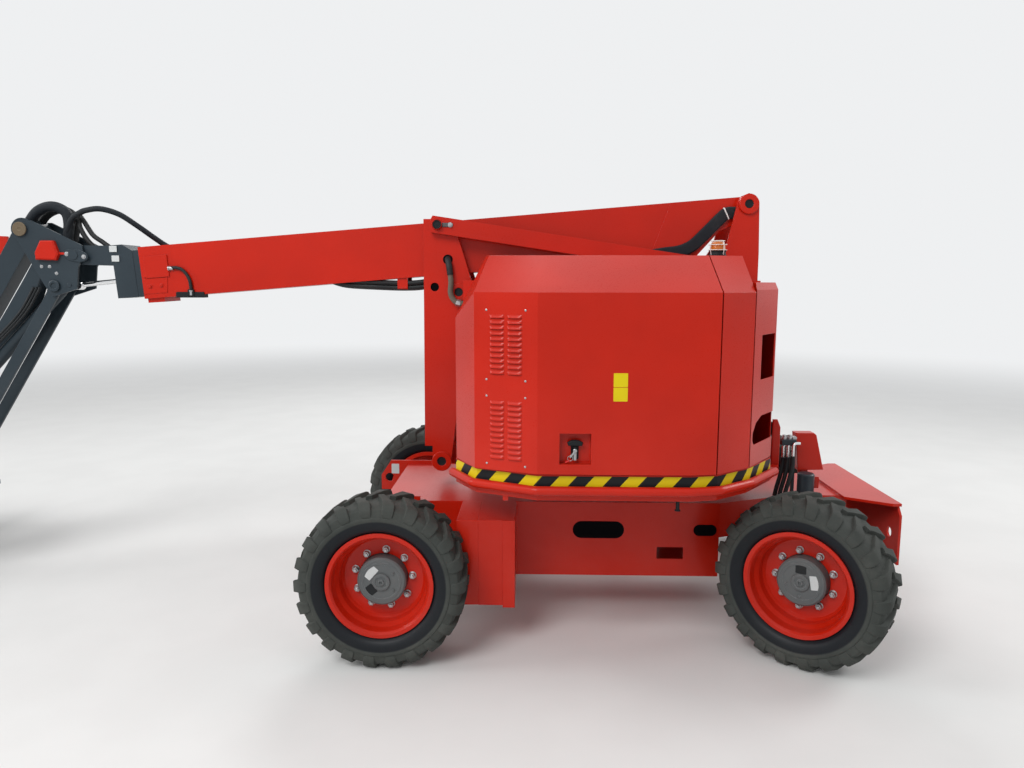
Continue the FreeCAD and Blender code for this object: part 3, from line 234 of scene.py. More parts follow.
def swept(path, outline, across=Y):
    """An outline carried along a path: its x lies along the path's tangent crossed with
    across, its y nearly along across."""
    path = np.asarray(path, float)
    tangent = unit(np.gradient(path, axis=0))
    side = unit(np.cross(tangent, across))
    up = np.cross(side, tangent)
    outline = np.asarray(outline, float)
    return loft(path[:, None] + outline[None, :, :1] * side[:, None]
                + outline[None, :, 1:] * up[:, None])


def tube(path, radius, sides=12, across=Y):
    """A round tube along a path."""
    return swept(path, circle(radius, sides), across)


def joined(parts):
    """Several meshes as one list of points and faces."""
    starts = np.cumsum([0] + [len(verts) for verts, _ in parts])
    faces = [[k + int(start) for k in face]
             for start, (_, rows) in zip(starts, parts) for face in rows]
    return np.vstack([verts for verts, _ in parts]), faces


def placed(part, origin, u=X, v=Y, w=Z):
    """The part with its x, y, z laid along u, v, w from origin."""
    verts, faces = part
    return np.asarray(origin, float) + verts @ np.array([u, v, w], float), faces


def stamped(part, origins, u=X, v=Y, w=Z):
    """One copy of the part at each origin."""
    return joined([placed(part, origin, u, v, w) for origin in origins])


def outwards(part, side, x, y, z):
    """The part laid on a side plate with its z outwards; both sides read alike."""
    return placed(part, (x, side * y, z), X, Z, side * Y)


def leaning(degrees):
    """The frame's x and z turned in the side view."""
    a = math.radians(degrees)
    return math.cos(a) * X + math.sin(a) * Z, math.cos(a) * Z - math.sin(a) * X


def ring_of(count, radius, first=0.0):
    """Points at equal angles on a circle in the local plane, as rows (x, y, 0)."""
    t = math.radians(first) + np.arange(count) * 2 * np.pi / count
    return np.stack([radius * np.cos(t), radius * np.sin(t), 0 * t], -1)


def piece(name, part, material, body=None, slot=None, node=None, between=None, crease=32.0,
          values=None):
    """A mesh object in its place with its finish. body names what it rides on. between gives
    two bodies and the points where the piece leaves the one and reaches the other; they are
    not used, and the piece then rides on no body.
    node is the CAD node that it replaces."""
    verts, faces = part
    mesh = bpy.data.meshes.new(name)
    mesh.from_pydata(metres(verts).tolist(), [], faces)
    if values:
        label, numbers = values
        mesh.attributes.new(label, "FLOAT", "POINT").data.foreach_set(
            "value", np.asarray(numbers, np.float32))
    work = bmesh.new()
    work.from_mesh(mesh)
    bmesh.ops.remove_doubles(work, verts=work.verts, dist=1e-6)
    bmesh.ops.dissolve_degenerate(work, edges=work.edges, dist=1e-7)
    bmesh.ops.recalc_face_normals(work, faces=work.faces)
    work.to_mesh(mesh)
    work.free()
    mesh.shade_smooth()
    mesh.set_sharp_from_angle(angle=math.radians(crease))
    mesh.materials.append(finish(material))
    made = bpy.data.objects.new(name, mesh)
    bpy.context.scene.collection.objects.link(made)
    if between:
        first, second, start, end = between
        tuple(metres(start))
        tuple(metres(end))
        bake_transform(made)
    else:
        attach(made, body)
    slot or FINISH_SLOT.get(material, "black_plastic")
    if node:
        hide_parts(node)


def hoses(name, lines, radius, sides=12, count=40, material="hose rubber", crease=60, **ends):
    """Tubes of one size along smooth lines, as one piece."""
    tubes = [tube(smooth(line, count), radius, sides) for line in lines]
    piece(name, joined(tubes), material, crease=crease, **ends)


# Finishes


def feed(tree, value, socket):
    """Gives a socket a value, or a link where the value is another node's result."""
    if isinstance(value, NodeSocket):
        tree.links.new(value, socket)
    else:
        socket.default_value = value


def add_node(tree, kind, inputs=None, **settings):
    """A shader node with its settings and its inputs."""
    node = tree.nodes.new("ShaderNode" + kind)
    for label, value in settings.items():
        setattr(node, label, value)
    for label, value in (inputs or {}).items():
        feed(tree, value, node.inputs[label])
    return node


def sums(tree, operation, first, second=0.0, third=0.0, clamp=False):
    """A maths node's result."""
    return add_node(tree, "Math", {0: first, 1: second, 2: third},
                    operation=operation, use_clamp=clamp).outputs[0]


def ramp(tree, value, low, high, to_low=0.0, to_high=1.0):
    """A value mapped smoothly from one range to another and held at its ends."""
    return add_node(tree, "MapRange", {"Value": value, "From Min": low, "From Max": high,
                                       "To Min": to_low, "To Max": to_high},
                    interpolation_type="SMOOTHSTEP").outputs["Result"]


def blended(tree, share, first, second):
    """A mix of two colours."""
    return add_node(tree, "Mix", {0: share, 6: first, 7: second}, data_type="RGBA").outputs[2]


def noise(tree, place, scale, detail=4.0, rough=0.5):
    """A noise's value."""
    return add_node(tree, "TexNoise", {"Vector": place, "Scale": scale, "Detail": detail,
                                       "Roughness": rough}).outputs[0]


def axis_of(tree, vector, label):
    """One coordinate of a vector."""
    return add_node(tree, "SeparateXYZ", {0: vector}).outputs[label]


def new_group(name, inputs, outputs):
    """An empty shader group with named sockets, its inputs' and its outputs' ends."""
    group = bpy.data.node_groups.new(name, "ShaderNodeTree")
    group.interface.new_socket("Vector", in_out="INPUT", socket_type="NodeSocketVector")
    for label, value in inputs:
        socket = group.interface.new_socket(label, in_out="INPUT", socket_type="NodeSocketFloat")
        socket.default_value = value
    for label, kind in outputs:
        group.interface.new_socket(label, in_out="OUTPUT", socket_type="NodeSocket" + kind)
    ends = group.nodes.new("NodeGroupInput"), group.nodes.new("NodeGroupOutput")
    return group, ends[0].outputs, ends[1].inputs


def edge_wear_and_highlight_group():
    """Rounded edge normal, and a mask of edges lit as painted highlight and worn by rubbing: six
    times the angle between the rounded and the flat normal, broken up by noise."""
    group, given, made = new_group("edge wear and highlight", (("Width", 0.003), ("Amount", 0.5)),
                                   (("Normal", "Vector"), ("Mask", "Float")))
    soft = add_node(group, "Bevel", {"Radius": given["Width"]}, samples=4).outputs["Normal"]
    flat = add_node(group, "NewGeometry").outputs["Normal"]
    dot = add_node(group, "VectorMath", {0: soft, 1: flat}, operation="DOT_PRODUCT")
    edge = sums(group, "MULTIPLY", sums(group, "SUBTRACT", 1.0, dot.outputs["Value"]), 6.0, clamp=True)
    broken = sums(group, "MULTIPLY", edge, ramp(group, noise(group, given["Vector"], 34.0), 0.38, 0.62))
    group.links.new(soft, made["Normal"])
    group.links.new(sums(group, "MULTIPLY", broken, given["Amount"]), made["Mask"])
    return group


def road_dust_group():
    """A mask of dust: one at the ground and none at Height, plus a film on faces that look up,
    times two noises."""
    group, given, made = new_group("road dust", (("Height", 1.0), ("Amount", 0.5)),
                                   (("Mask", "Float"),))
    height = axis_of(group, given["Vector"], "Z")
    low = sums(group, "SUBTRACT", 1.0, sums(group, "DIVIDE", height, given["Height"]), clamp=True)
    up = axis_of(group, add_node(group, "NewGeometry").outputs["Normal"], "Z")
    film = sums(group, "MULTIPLY", ramp(group, up, 0.5, 1.0), 0.15)
    cloud = ramp(group, noise(group, given["Vector"], 3.2, 6.0, 0.6), 0.35, 0.7)
    speck = ramp(group, noise(group, given["Vector"], 70.0, 3.0), 0.2, 0.75, 0.4)
    patchy = sums(group, "MULTIPLY", cloud, speck)
    whole = sums(group, "MULTIPLY", sums(group, "ADD", low, film), patchy)
    group.links.new(sums(group, "MULTIPLY", whole, given["Amount"], clamp=True), made["Mask"])
    return group


def grain_group():
    """Noise of one scale as a height and as a tone about one."""
    group, given, made = new_group("grain", (("Scale", 100.0), ("Depth", 1.0)),
                                   (("Height", "Float"), ("Tone", "Float")))
    value = noise(group, given["Vector"], given["Scale"])
    group.links.new(sums(group, "MULTIPLY", value, given["Depth"]), made["Height"])
    group.links.new(ramp(group, value, 0.25, 0.75, 0.88, 1.12), made["Tone"])
    return group


GROUPS = {"edge wear and highlight": edge_wear_and_highlight_group, "road dust": road_dust_group, "grain": grain_group}


def use(tree, name, place, **inputs):
    """A shared group placed in a material with its own values, built when first needed."""
    node = tree.nodes.new("ShaderNodeGroup")
    node.node_tree = bpy.data.node_groups.get(name) or GROUPS[name]()
    for label, value in {"Vector": place, **inputs}.items():
        feed(tree, value, node.inputs[label])
    return node.outputs


def new_material(name):
    """An empty material with its tree, its shader and its Object coordinates."""
    material = bpy.data.materials.new(name)
    material.use_nodes = True
    tree = material.node_tree
    tree.nodes.clear()
    shader = tree.nodes.new("ShaderNodeBsdfPrincipled")
    end = tree.nodes.new("ShaderNodeOutputMaterial")
    tree.links.new(shader.outputs[0], end.inputs["Surface"])
    return material, tree, shader, tree.nodes.new("ShaderNodeTexCoord").outputs["Object"]


def rgba(colour):
    """Three numbers as a colour socket's four."""
    return (*tuple(colour)[:3], 1.0)


def toned(tree, colour, tone):
    """A colour times a grey value."""
    scaled = add_node(tree, "VectorMath", {0: colour, "Scale": tone}, operation="SCALE")
    return scaled.outputs["Vector"]


def dressed(tree, shader, colour, dirt, rough, bump, strength, shine):
    """Joins a finish to its shader: its colour under dust, its roughness and its bump."""
    dust = rgba(bpy.context.scene.lift_colours.dust)
    tree.links.new(blended(tree, dirt, colour, dust), shader.inputs["Base Color"])
    tree.links.new(rough, shader.inputs["Roughness"])
    node = add_node(tree, "Bump", {**bump, "Strength": strength, "Distance": 1.0})
    tree.links.new(node.outputs["Normal"], shader.inputs["Normal"])
    shader.inputs["Specular IOR Level"].default_value = shine


def coated(name, colour, rough=0.35, coat=0.0, metal=0.0, bare=None, worn=0.4, width=0.003,
           dust=0.3, dust_height=1.3, grain=240.0, depth=0.0002, shine=0.2, pattern=None):
    """Paint, plastic or metal: base colour toned by a broad noise, lighter on edges as painted
    edge highlight and rubbed wear, dusty low down and on top, with a fine grain as bump."""
    material, tree, shader, place = new_material(name)
    broad = use(tree, "grain", place, Scale=1.6, Depth=1.0)
    fine = use(tree, "grain", place, Scale=grain, Depth=depth)
    edge = use(tree, "edge wear and highlight", place, Width=width, Amount=worn)
    dirt = use(tree, "road dust", place, Height=dust_height, Amount=dust)["Mask"]
    base = pattern(tree, place) if pattern else tuple(colour)[:3]
    # Edges take the bare colour: part painted highlight, part worn finish.
    edge_lit_and_rubbed = blended(tree, edge["Mask"], toned(tree, base, broad["Tone"]), rgba(bare or colour))
    rougher = sums(tree, "MULTIPLY_ADD", dirt, 0.45, rough)
    dressed(tree, shader, edge_lit_and_rubbed, dirt, sums(tree, "MULTIPLY", rougher, fine["Tone"]),
            {"Height": fine["Height"], "Normal": edge["Normal"]}, 0.35, shine)
    shader.inputs["Metallic"].default_value = metal
    shader.inputs["Coat Weight"].default_value = coat
    shader.inputs["Coat Roughness"].default_value = 0.12
    return material


def hazard_stripes(tree, place):
    """Yellow and black bands: along less 0.9 up, over the pitch, where along is x plus the
    facets' extra length, 0.3 of the set-back from the side and 0.26 of what passes 125 mm. The
    first half of each pitch is yellow, and the band's upper rim is painted."""
    looks = bpy.context.scene.lift_colours
    trim = bpy.context.scene.lift_trim
    split = add_node(tree, "SeparateXYZ", {0: place}).outputs
    x = sums(tree, "SUBTRACT", split["X"], SLEW_X)
    setback = sums(tree, "SUBTRACT", TURNTABLE_Y / 1000, sums(tree, "ABSOLUTE", split["Y"]))
    beyond = sums(tree, "MAXIMUM", sums(tree, "SUBTRACT", setback, 0.125), 0.0)
    extra = sums(tree, "MULTIPLY_ADD", setback, 0.3, sums(tree, "MULTIPLY", beyond, 0.26))
    along = sums(tree, "MULTIPLY_ADD", sums(tree, "SIGN", x), extra, x)
    lean = sums(tree, "MULTIPLY", split["Z"], -0.9)
    turns = sums(tree, "DIVIDE", sums(tree, "ADD", along, lean), trim.stripe_pitch)
    phase = sums(tree, "FRACT", sums(tree, "ADD", turns, 40.838))
    share = ramp(tree, phase, 0.495, 0.505)
    tape = blended(tree, share, rgba(looks.stripe), rgba(looks.black))
    rim = ramp(tree, split["Z"], STRIPE_TOP - 0.0005, STRIPE_TOP + 0.0005)
    return blended(tree, rim, tape, rgba(looks.paint))


def tread_plate(tree, place):
    """Grey plate with a lozenge pattern, lighter on the lozenges and darker between them: sines across two
    diagonals.
    """
    grey = tuple(bpy.context.scene.lift_colours.rail)
    split = add_node(tree, "SeparateXYZ", {0: place}).outputs
    lines = [sums(tree, "SINE", sums(tree, "MULTIPLY", sums(tree, sign, split["X"], split["Y"]), 150.0))
             for sign in ("ADD", "SUBTRACT")]
    raised = ramp(tree, sums(tree, "MULTIPLY", *lines), 0.35, 0.6)
    return blended(tree, raised, rgba(0.6 * k for k in grey), rgba(min(1.0, 1.5 * k) for k in grey))


def tyre_rubber(name):
    """Rubber: black in the band next to the rim and dusty grey-green outside it, by the
    attribute that holds each point's radius."""
    looks = bpy.context.scene.lift_colours
    material, tree, shader, place = new_material(name)
    radius = add_node(tree, "Attribute", attribute_name="radius").outputs["Fac"]
    outer = ramp(tree, radius, 0.296, 0.305)
    cloud = use(tree, "grain", place, Scale=14.0, Depth=1.0)
    fine = use(tree, "grain", place, Scale=420.0, Depth=0.0006)
    edge = use(tree, "edge wear and highlight", place, Width=0.003, Amount=0.5)
    dirt = use(tree, "road dust", place, Height=1.4, Amount=0.2)["Mask"]
    worn = toned(tree, tuple(looks.tread), cloud["Tone"])
    # Lighter lug edges: part painted highlight, part rubbed wear.
    light = blended(tree, edge["Mask"], worn, rgba(1.5 * k for k in looks.tread))
    two = blended(tree, outer, rgba(looks.sidewall), light)
    film = sums(tree, "MULTIPLY", dirt, sums(tree, "MULTIPLY_ADD", outer, 0.85, 0.15))
    dressed(tree, shader, two, film, sums(tree, "MULTIPLY_ADD", outer, 0.32, 0.46),
            {"Height": fine["Height"], "Normal": edge["Normal"]}, 0.6, 0.22)
    return material


def braided(name, colour, rough, pitch, depth):
    """Hose cover: fine ribs by a wave along z and x, which reads as a wrapped or braided skin."""
    material, tree, shader, place = new_material(name)
    wave = add_node(tree, "TexWave", {"Vector": place, "Scale": pitch, "Distortion": 1.5},
                    bands_direction="DIAGONAL").outputs[1]
    tone = use(tree, "grain", place, Scale=9.0, Depth=1.0)["Tone"]
    dirt = use(tree, "road dust", place, Height=6.0, Amount=0.12)["Mask"]
    dressed(tree, shader, toned(tree, tuple(colour)[:3], tone), dirt,
            sums(tree, "MULTIPLY", rough, tone),
            {"Height": sums(tree, "MULTIPLY", wave, depth)}, 0.5, 0.25)
    return material


def finish(name):
    """The material of that name, made from the colours the first time it is asked for."""
    made = bpy.data.materials.get(name)
    if made:
        return made
    if name == "tyre rubber":
        return tyre_rubber(name)
    c = bpy.context.scene.lift_colours
    covers = {
        "hose rubber": (c.black, 0.5, 110.0, 0.0006),
        "woven sleeve": ((0.010, 0.014, 0.019), 0.62, 180.0, 0.0012),
        "dusty conduit": ((0.13, 0.115, 0.09), 0.7, 75.0, 0.002),
    }
    if name in covers:
        return braided(name, *covers[name])
    # pale: lighter paint for the edges, part painted edge highlight and part rubbed wear.
    pale = tuple(min(1.0, 1.2 * k + 0.03) for k in c.paint)
    coats = {
        "red paint": dict(colour=c.paint, rough=0.3, coat=0.12, bare=pale, dust=0.08),
        "slate paint": dict(colour=c.slate, rough=0.38, coat=0.1, bare=(0.12, 0.15, 0.17), dust=0.12,
                            dust_height=2.2),
        "grey casting": dict(colour=c.hub, rough=0.5, bare=(0.34, 0.35, 0.36), dust=0.25, grain=90.0,
                             depth=0.0012, worn=0.6),
        "rail paint": dict(colour=c.rail, rough=0.4, coat=0.15, bare=(0.4, 0.42, 0.43)),
        "tread plate": dict(colour=c.rail, rough=0.42, metal=0.3, dust=0.35, pattern=tread_plate),
        "zinc steel": dict(colour=c.steel, rough=0.34, metal=0.85, bare=(0.75, 0.75, 0.74),
                           grain=300.0, worn=0.5, width=0.0012),
        "chrome": dict(colour=(0.78, 0.79, 0.8), rough=0.09, metal=1.0, dust=0.05, worn=0.0,
                       grain=600.0, depth=0.00002, dust_height=0.8),
        "bronze washer": dict(colour=(0.15, 0.115, 0.075), rough=0.55, metal=0.3,
                              bare=(0.35, 0.3, 0.2), grain=120.0, depth=0.001),
        "cast iron": dict(colour=(0.09, 0.09, 0.09), rough=0.6, dust=0.4, grain=80.0, depth=0.002),
        "black plastic": dict(colour=c.black, rough=0.5, bare=(0.06, 0.06, 0.06), dust=0.1,
                              grain=500.0, depth=0.0005, width=0.0015),
        # Near-black matt sheets: painted shade inside holes and slots.
        "painted hole shade": dict(colour=(0.003, 0.003, 0.004), rough=0.9, dust=0.0, worn=0.0, shine=0.05),
        "yellow label": dict(colour=c.stripe, rough=0.4, bare=(0.8, 0.75, 0.2), dust=0.12,
                             grain=700.0, width=0.001),
        "pale label": dict(colour=(0.55, 0.57, 0.57), rough=0.45, dust=0.35, grain=700.0, width=0.001),
        "white wire": dict(colour=(0.75, 0.75, 0.73), dust=0.15, width=0.001),
        "amber lens": dict(colour=c.amber, rough=0.16, coat=0.6, dust=0.1, grain=160.0, worn=0.1,
                           width=0.001),
        "emergency red": dict(colour=(0.6, 0.01, 0.01), rough=0.25, coat=0.4, dust=0.05, width=0.001),
        "hazard stripes": dict(colour=c.stripe, rough=0.45, dust=0.04, worn=0.0, pattern=hazard_stripes),
    }
    return coated(name, **coats[name])


# The record's material slots and the finish that each one gets here.
SLOT_FINISH = {
    "paint_red": "red paint",
    "paint_dark": "slate paint",
    "paint_grey": "grey casting",
    "tyre_rubber": "tyre rubber",
    "chrome_rod": "chrome",
    "bare_steel": "zinc steel",
    "iron_weight": "cast iron",
    "amber_lens": "amber lens",
    "black_plastic": "black plastic",
    "rail_grey": "rail paint",
}
NODE_FINISH = {
    "edge_band_left": "hazard stripes",
    "edge_band_right": "hazard stripes",
    "platform_floor": "tread plate",
}
# A slot for each finish; all others are black plastic. piece() looks it up but gives the piece no slot.
FINISH_SLOT = {
    "red paint": "paint_red",
    "yellow label": "paint_red",
    "emergency red": "paint_red",
    "slate paint": "paint_dark",
    "grey casting": "paint_grey",
    "pale label": "paint_grey",
    "tyre rubber": "tyre_rubber",
    "amber lens": "amber_lens",
    "zinc steel": "bare_steel",
    "chrome": "bare_steel",
    "bronze washer": "bare_steel",
    "white wire": "bare_steel",
}


# Sizes and colours


def tint(label, note, default):
    """A colour that a user may change."""
    return FloatVectorProperty(name=label, description=note, subtype="COLOR", size=3,
                               min=0.0, max=1.0, default=default)


def length(label, note, default):
    """A length that a user may change, in metres."""
    return FloatProperty(name=label, description=note, subtype="DISTANCE", unit="LENGTH",
                         min=0.0, default=default)


def power(label, note, default):
    """A lamp's power in watts."""
    return FloatProperty(name=label, description=note, default=default, min=0.0,
                         subtype="POWER", unit="POWER")


class LiftColours(PropertyGroup):
    """Colours of the machine's finishes."""

    paint: tint("Body paint", "Orange-red gloss paint of chassis, covers and boom", (0.50, 0.0135, 0.003))
    slate: tint("Slate paint", "Dark blue-grey of inner boom and jib", (0.025, 0.037, 0.047))
    rail: tint("Platform paint", "Grey of the platform's tubes", (0.16, 0.17, 0.18))
    hub: tint("Hub casting", "Grey of the wheel hubs", (0.098, 0.106, 0.109))
    steel: tint("Steel", "Zinc plated bolts and bare steel", (0.42, 0.43, 0.44))
    tread: tint("Tyre tread", "Worn rubber of lugs and outer sidewall", (0.044, 0.049, 0.045))
    sidewall: tint("Tyre sidewall", "Clean rubber next to the rim", (0.007, 0.009, 0.012))
    dust: tint("Dust", "Road dust on low and upward faces", (0.20, 0.19, 0.165))
    black: tint("Black", "Plastic, hoses and the dark stripes", (0.009, 0.011, 0.013))
    stripe: tint("Yellow", "Stripes and blank labels", (0.70, 0.55, 0.006))
    amber: tint("Beacon", "Beacon lens", (0.52, 0.14, 0.012))


class TyreSizes(PropertyGroup):
    """Tread of the four tyres."""

    lugs: IntProperty(name="Lugs a side", description="Lugs on each shoulder of a tyre",
                      default=22, min=8, max=40)
    tread: length("Tread radius", "Ground between the lugs", 0.366)
    lug_width: length("Lug width", "Width of a lug at the shoulder", 0.058)
    lug_shift: length("Lug sweep", "How far a lug runs round the tyre on its way in", 0.058)


class TrimSizes(PropertyGroup):
    """Fittings on wheels, covers, boom and arms."""

    nuts: IntProperty(name="Wheel nuts", description="Nuts on each wheel", default=9, min=4, max=16)
    stripe_pitch: length("Stripe pitch", "One yellow and one black stripe", 0.150)
    louvre_lift: length("Louvre height", "How far a louvre stands out", 0.007)
    thick_hose: length("Thick hose", "Radius of the sleeved hoses on the jib", 0.027)
    thin_hose: length("Thin hose", "Radius of the single hoses", 0.013)
    edge_bar: length("Edge bar", "Radius of the red bar under the stripes", 0.0205)


class StudioSettings(PropertyGroup):
    """Floor, lamps and camera."""

    floor: tint("Floor", "Pale studio floor", (0.72, 0.72, 0.71))
    sky: FloatProperty(name="Soft light", description="Strength of the light from all round",
                       default=0.58, min=0.0)
    key: power("Key lamp", "Power of the large lamp above the camera", 450.0)
    fill: power("Fill lamps", "Power of the lamps at the ends", 240.0)
    focal: FloatProperty(name="Focal length", description="Camera lens in millimetres",
                         default=26.707, min=1.0, subtype="DISTANCE_CAMERA")


# Pieces


class LIFT_OT_finish_nodes(Operator):
    """Give every CAD node its procedural finish"""

    bl_idname = "boomlift.finish_nodes"
    bl_label = "Painted surfaces"

    def execute(self, context):
        for row in frame["record"]["subparts"]:
            name = NODE_FINISH.get(row["node"], SLOT_FINISH[row["material_slot"]])
            for place in frame["nodes"][row["node"]].material_slots:
                place.material = finish(name)
        return {"FINISHED"}


def wheel_places():
    """Name, place and label turn of the wheels; a place is centre, local right, up, outward."""
    for corner in ("front_left", "front_right", "rear_left", "rear_right"):
        low, high = node_box("tyre_" + corner)
        out = unit(AXIS[corner + "_roll"] * (-1.0 if corner.endswith("left") else 1.0))
        turn = 0.0 if corner.startswith("front") else -128.0
        yield corner, ((low + high) / 2, np.cross(Z, out), Z, out), turn


class LIFT_OT_tyres(Operator):
    """Four tyres: a carcass of revolution with swept lugs on both shoulders"""

    bl_idname = "boomlift.tyres"
    bl_label = "Tyres"

    def execute(self, context):
        tyre = tyre_mesh(context.scene.lift_tyres)
        radius = np.hypot(tyre[0][:, 0], tyre[0][:, 1]) / 1000
        for corner, place, _ in wheel_places():
            piece("tyre_tread_" + corner, placed(tyre, *place), "tyre rubber", "wheel_" + corner,
                  node="tyre_" + corner, crease=28, values=("radius", radius))
        return {"FINISHED"}


def tyre_mesh(sizes):
    """Tyre about local z, outer face up. The carcass turns its half profile and its mirror
    about the axle. A lug is a loft of sections (across, radius, half width, sweep, depth),
    each a trapezium standing on the carcass; point (a, r) of it goes to angle a / r."""
    base = sizes.tread * 1000
    half = np.array([
        (97.8, 226.4), (97.8, 243.5), (103, 248), (112, 253), (119, 261), (125.5, 276), (127.5, 292),
        (127.8, 302), (129.2, 305), (129.6, 311), (129.0, 317), (125.8, 320), (125.0, 330),
        (120, base - 14), (109, base - 5), (88, base), (45, base + 3), (0, base + 4)])
    profile = np.vstack([half, half[-2::-1] * (-1, 1), [(-80, 232), (80, 232)]])
    width = sizes.lug_width * 500
    sweep = sizes.lug_shift * 1000
    rows = np.array([
        # across, radius, half width, sweep, inner across, inner radius
        (127.0, 321, 0.80 * width, 0, 112, 322),
        (129.6, 327, 0.92 * width, 0, 112, 328),
        (129.6, 346, 1.00 * width, 0, 110, 342),
        (125.4, 357.4, 1.00 * width, 0, 102, 346),
        (108.8, 379.4, 1.00 * width, 0.04 * sweep, 92, 350),
        (98.0, 385.2, 0.97 * width, 0.12 * sweep, 86, 352),
        (72.0, 387.4, 0.80 * width, 0.34 * sweep, 72, 352),
        (24.0, 387.8, 0.60 * width, 0.78 * sweep, 24, 354),
        (-8.0, 387.6, 0.50 * width, 1.00 * sweep, -8, 354)])
    across, tall, wide, shift, in_across, in_tall = rows.T[:, :, None]
    corners = np.array([-1.16, -1.0, -0.88, 0.88, 1.0, 1.16])
    depth = np.array([1.0, 0.14, 0.0, 0.0, 0.14, 1.0])
    along = across + (in_across - across) * depth
    r = tall + (in_tall - tall) * depth
    angle = (shift + wide * corners) / 388
    lug, faces = loft(np.stack([r, angle, along], -1))
    r, angle, along = lug.T
    parts = [lathe(profile, 88, around=True)]
    for mirror, start in ((1, 0.0), (-1, np.pi / sizes.lugs)):
        for turn in np.arange(sizes.lugs) * 2 * np.pi / sizes.lugs + start:
            turned = np.stack([r * np.cos(turn + angle), r * np.sin(turn + angle), mirror * along], -1)
            parts.append((turned, faces))
    return joined(parts)


class LIFT_OT_wheel_fittings(Operator):
    """Wheel nuts on their studs, hub plug and bolts, and blank labels on the hub faces"""

    bl_idname = "boomlift.wheel_fittings"
    bl_label = "Wheel fittings"

    def execute(self, context):
        count = context.scene.lift_trim.nuts
        nut = joined([
            lathe([(0, 0), (0, 17.5), (3, 17.5), (3.6, 16.5), (3.6, 0)], 20),
            hexagon(15, ((0.95, 2), (1, 4), (1, 17), (0.86, 20))),
            lathe([(18, 0), (18, 8), (27, 8), (28.5, 6.5), (28.5, 0)], 12)])
        ring = lathe([(52, 78), (54.4, 79), (54.4, 90), (52, 91)], 56)
        plug = joined([
            lathe([(55, 38), (58.5, 40), (61.5, 38), (62.5, 34), (62.5, 27), (59.5, 26), (59.5, 0)], 40),
            hexagon(16, ((1, 58), (1, 66), (0.88, 67.5), (0.5, 67.5), (0.46, 62)))])
        for corner, place, turn in wheel_places():
            body = "wheel_" + corner
            studs = ring_of(count, 132.5, 4 if not turn else 22) - (0, 0, 9)
            piece("wheel_nuts_" + corner, placed(stamped(nut, studs), *place), "zinc steel", body)
            spin = math.radians(turn)
            screws = [(66 * math.cos(a + spin), 66 * math.sin(a + spin), 53) for a in (0.62, -0.62)]
            small = stamped(bolt(5.5, 4), screws)
            piece("hub_face_" + corner, placed(joined([ring, plug, small]), *place), "grey casting", body)
            for kind, look, bearing, size in (
                    ("pale", "pale label", 138, (64, 38)), ("dark", "black plastic", 219, (48, 42))):
                a = math.radians(bearing + turn)
                out = np.array([math.cos(a), math.sin(a), 0])
                sheet = prism(rounded(*size, 3), 52.5, 53.9, 0.3)
                label = placed(sheet, 62 * out, np.cross(Z, out), out, Z)
                piece(f"hub_label_{kind}_{corner}", placed(label, *place), look, body)
        return {"FINISHED"}


class LIFT_OT_edge_bars(Operator):
    """Red bar under the stripes, round all facets of the turntable"""

    bl_idname = "boomlift.edge_bars"
    bl_label = "Turntable edge bars"

    def execute(self, context):
        radius = context.scene.lift_trim.edge_bar * 1000
        outline = inset(np.array(TABLE_EDGE + [(790, 0), (-700, 0)]), -radius - 0.3)[:7]
        for name, side in SIDES:
            line = np.column_stack([outline[:, 0], side * outline[:, 1], np.full(7, 833.0)])
            line[0] += (6, 0, 0)
            piece("edge_bar_" + name, tube(eased(line, 12, 6), radius, 20, across=Z), "red paint",
                  "turntable", node="edge_tube_" + name)
        return {"FINISHED"}


def hood_front(rows):
    """The hood's points with the front end of its fold 120 mm lower, as in the photograph: the
    drop falls to nothing along the corner facet and at the top."""
    x, y, z = rows.T
    rise = np.clip((z - HOOD_FOLD) / (HOOD_TOP - HOOD_FOLD), 0, 1)
    near, far = 620 - 100 * rise, 815 - 210 * rise
    share = np.clip((far - np.abs(y)) / (far - near), 0, 1)
    drop = np.where((x < -534) & (z > HOOD_FOLD - 10), 120 * (1 - rise) * share, 0)
    return np.stack([x, y, z - drop], -1)


def tail_window(rows):
    """The tail cowl's points with its window 48 mm wider towards the hood."""
    x, y, z = rows.T
    edge = (x > 718) & (x < 736) & (z > 1280) & (z < 1500)
    return np.stack([x - 48 * edge, y + 67.4 * edge * np.sign(y), z], -1)


def reshaped(name, node, change, body):
    """A CAD node's own mesh with its points changed, in the node's place."""
    piece(name, (change(node_points(node)), node_faces(node)), "red paint", body, node=node, crease=12)


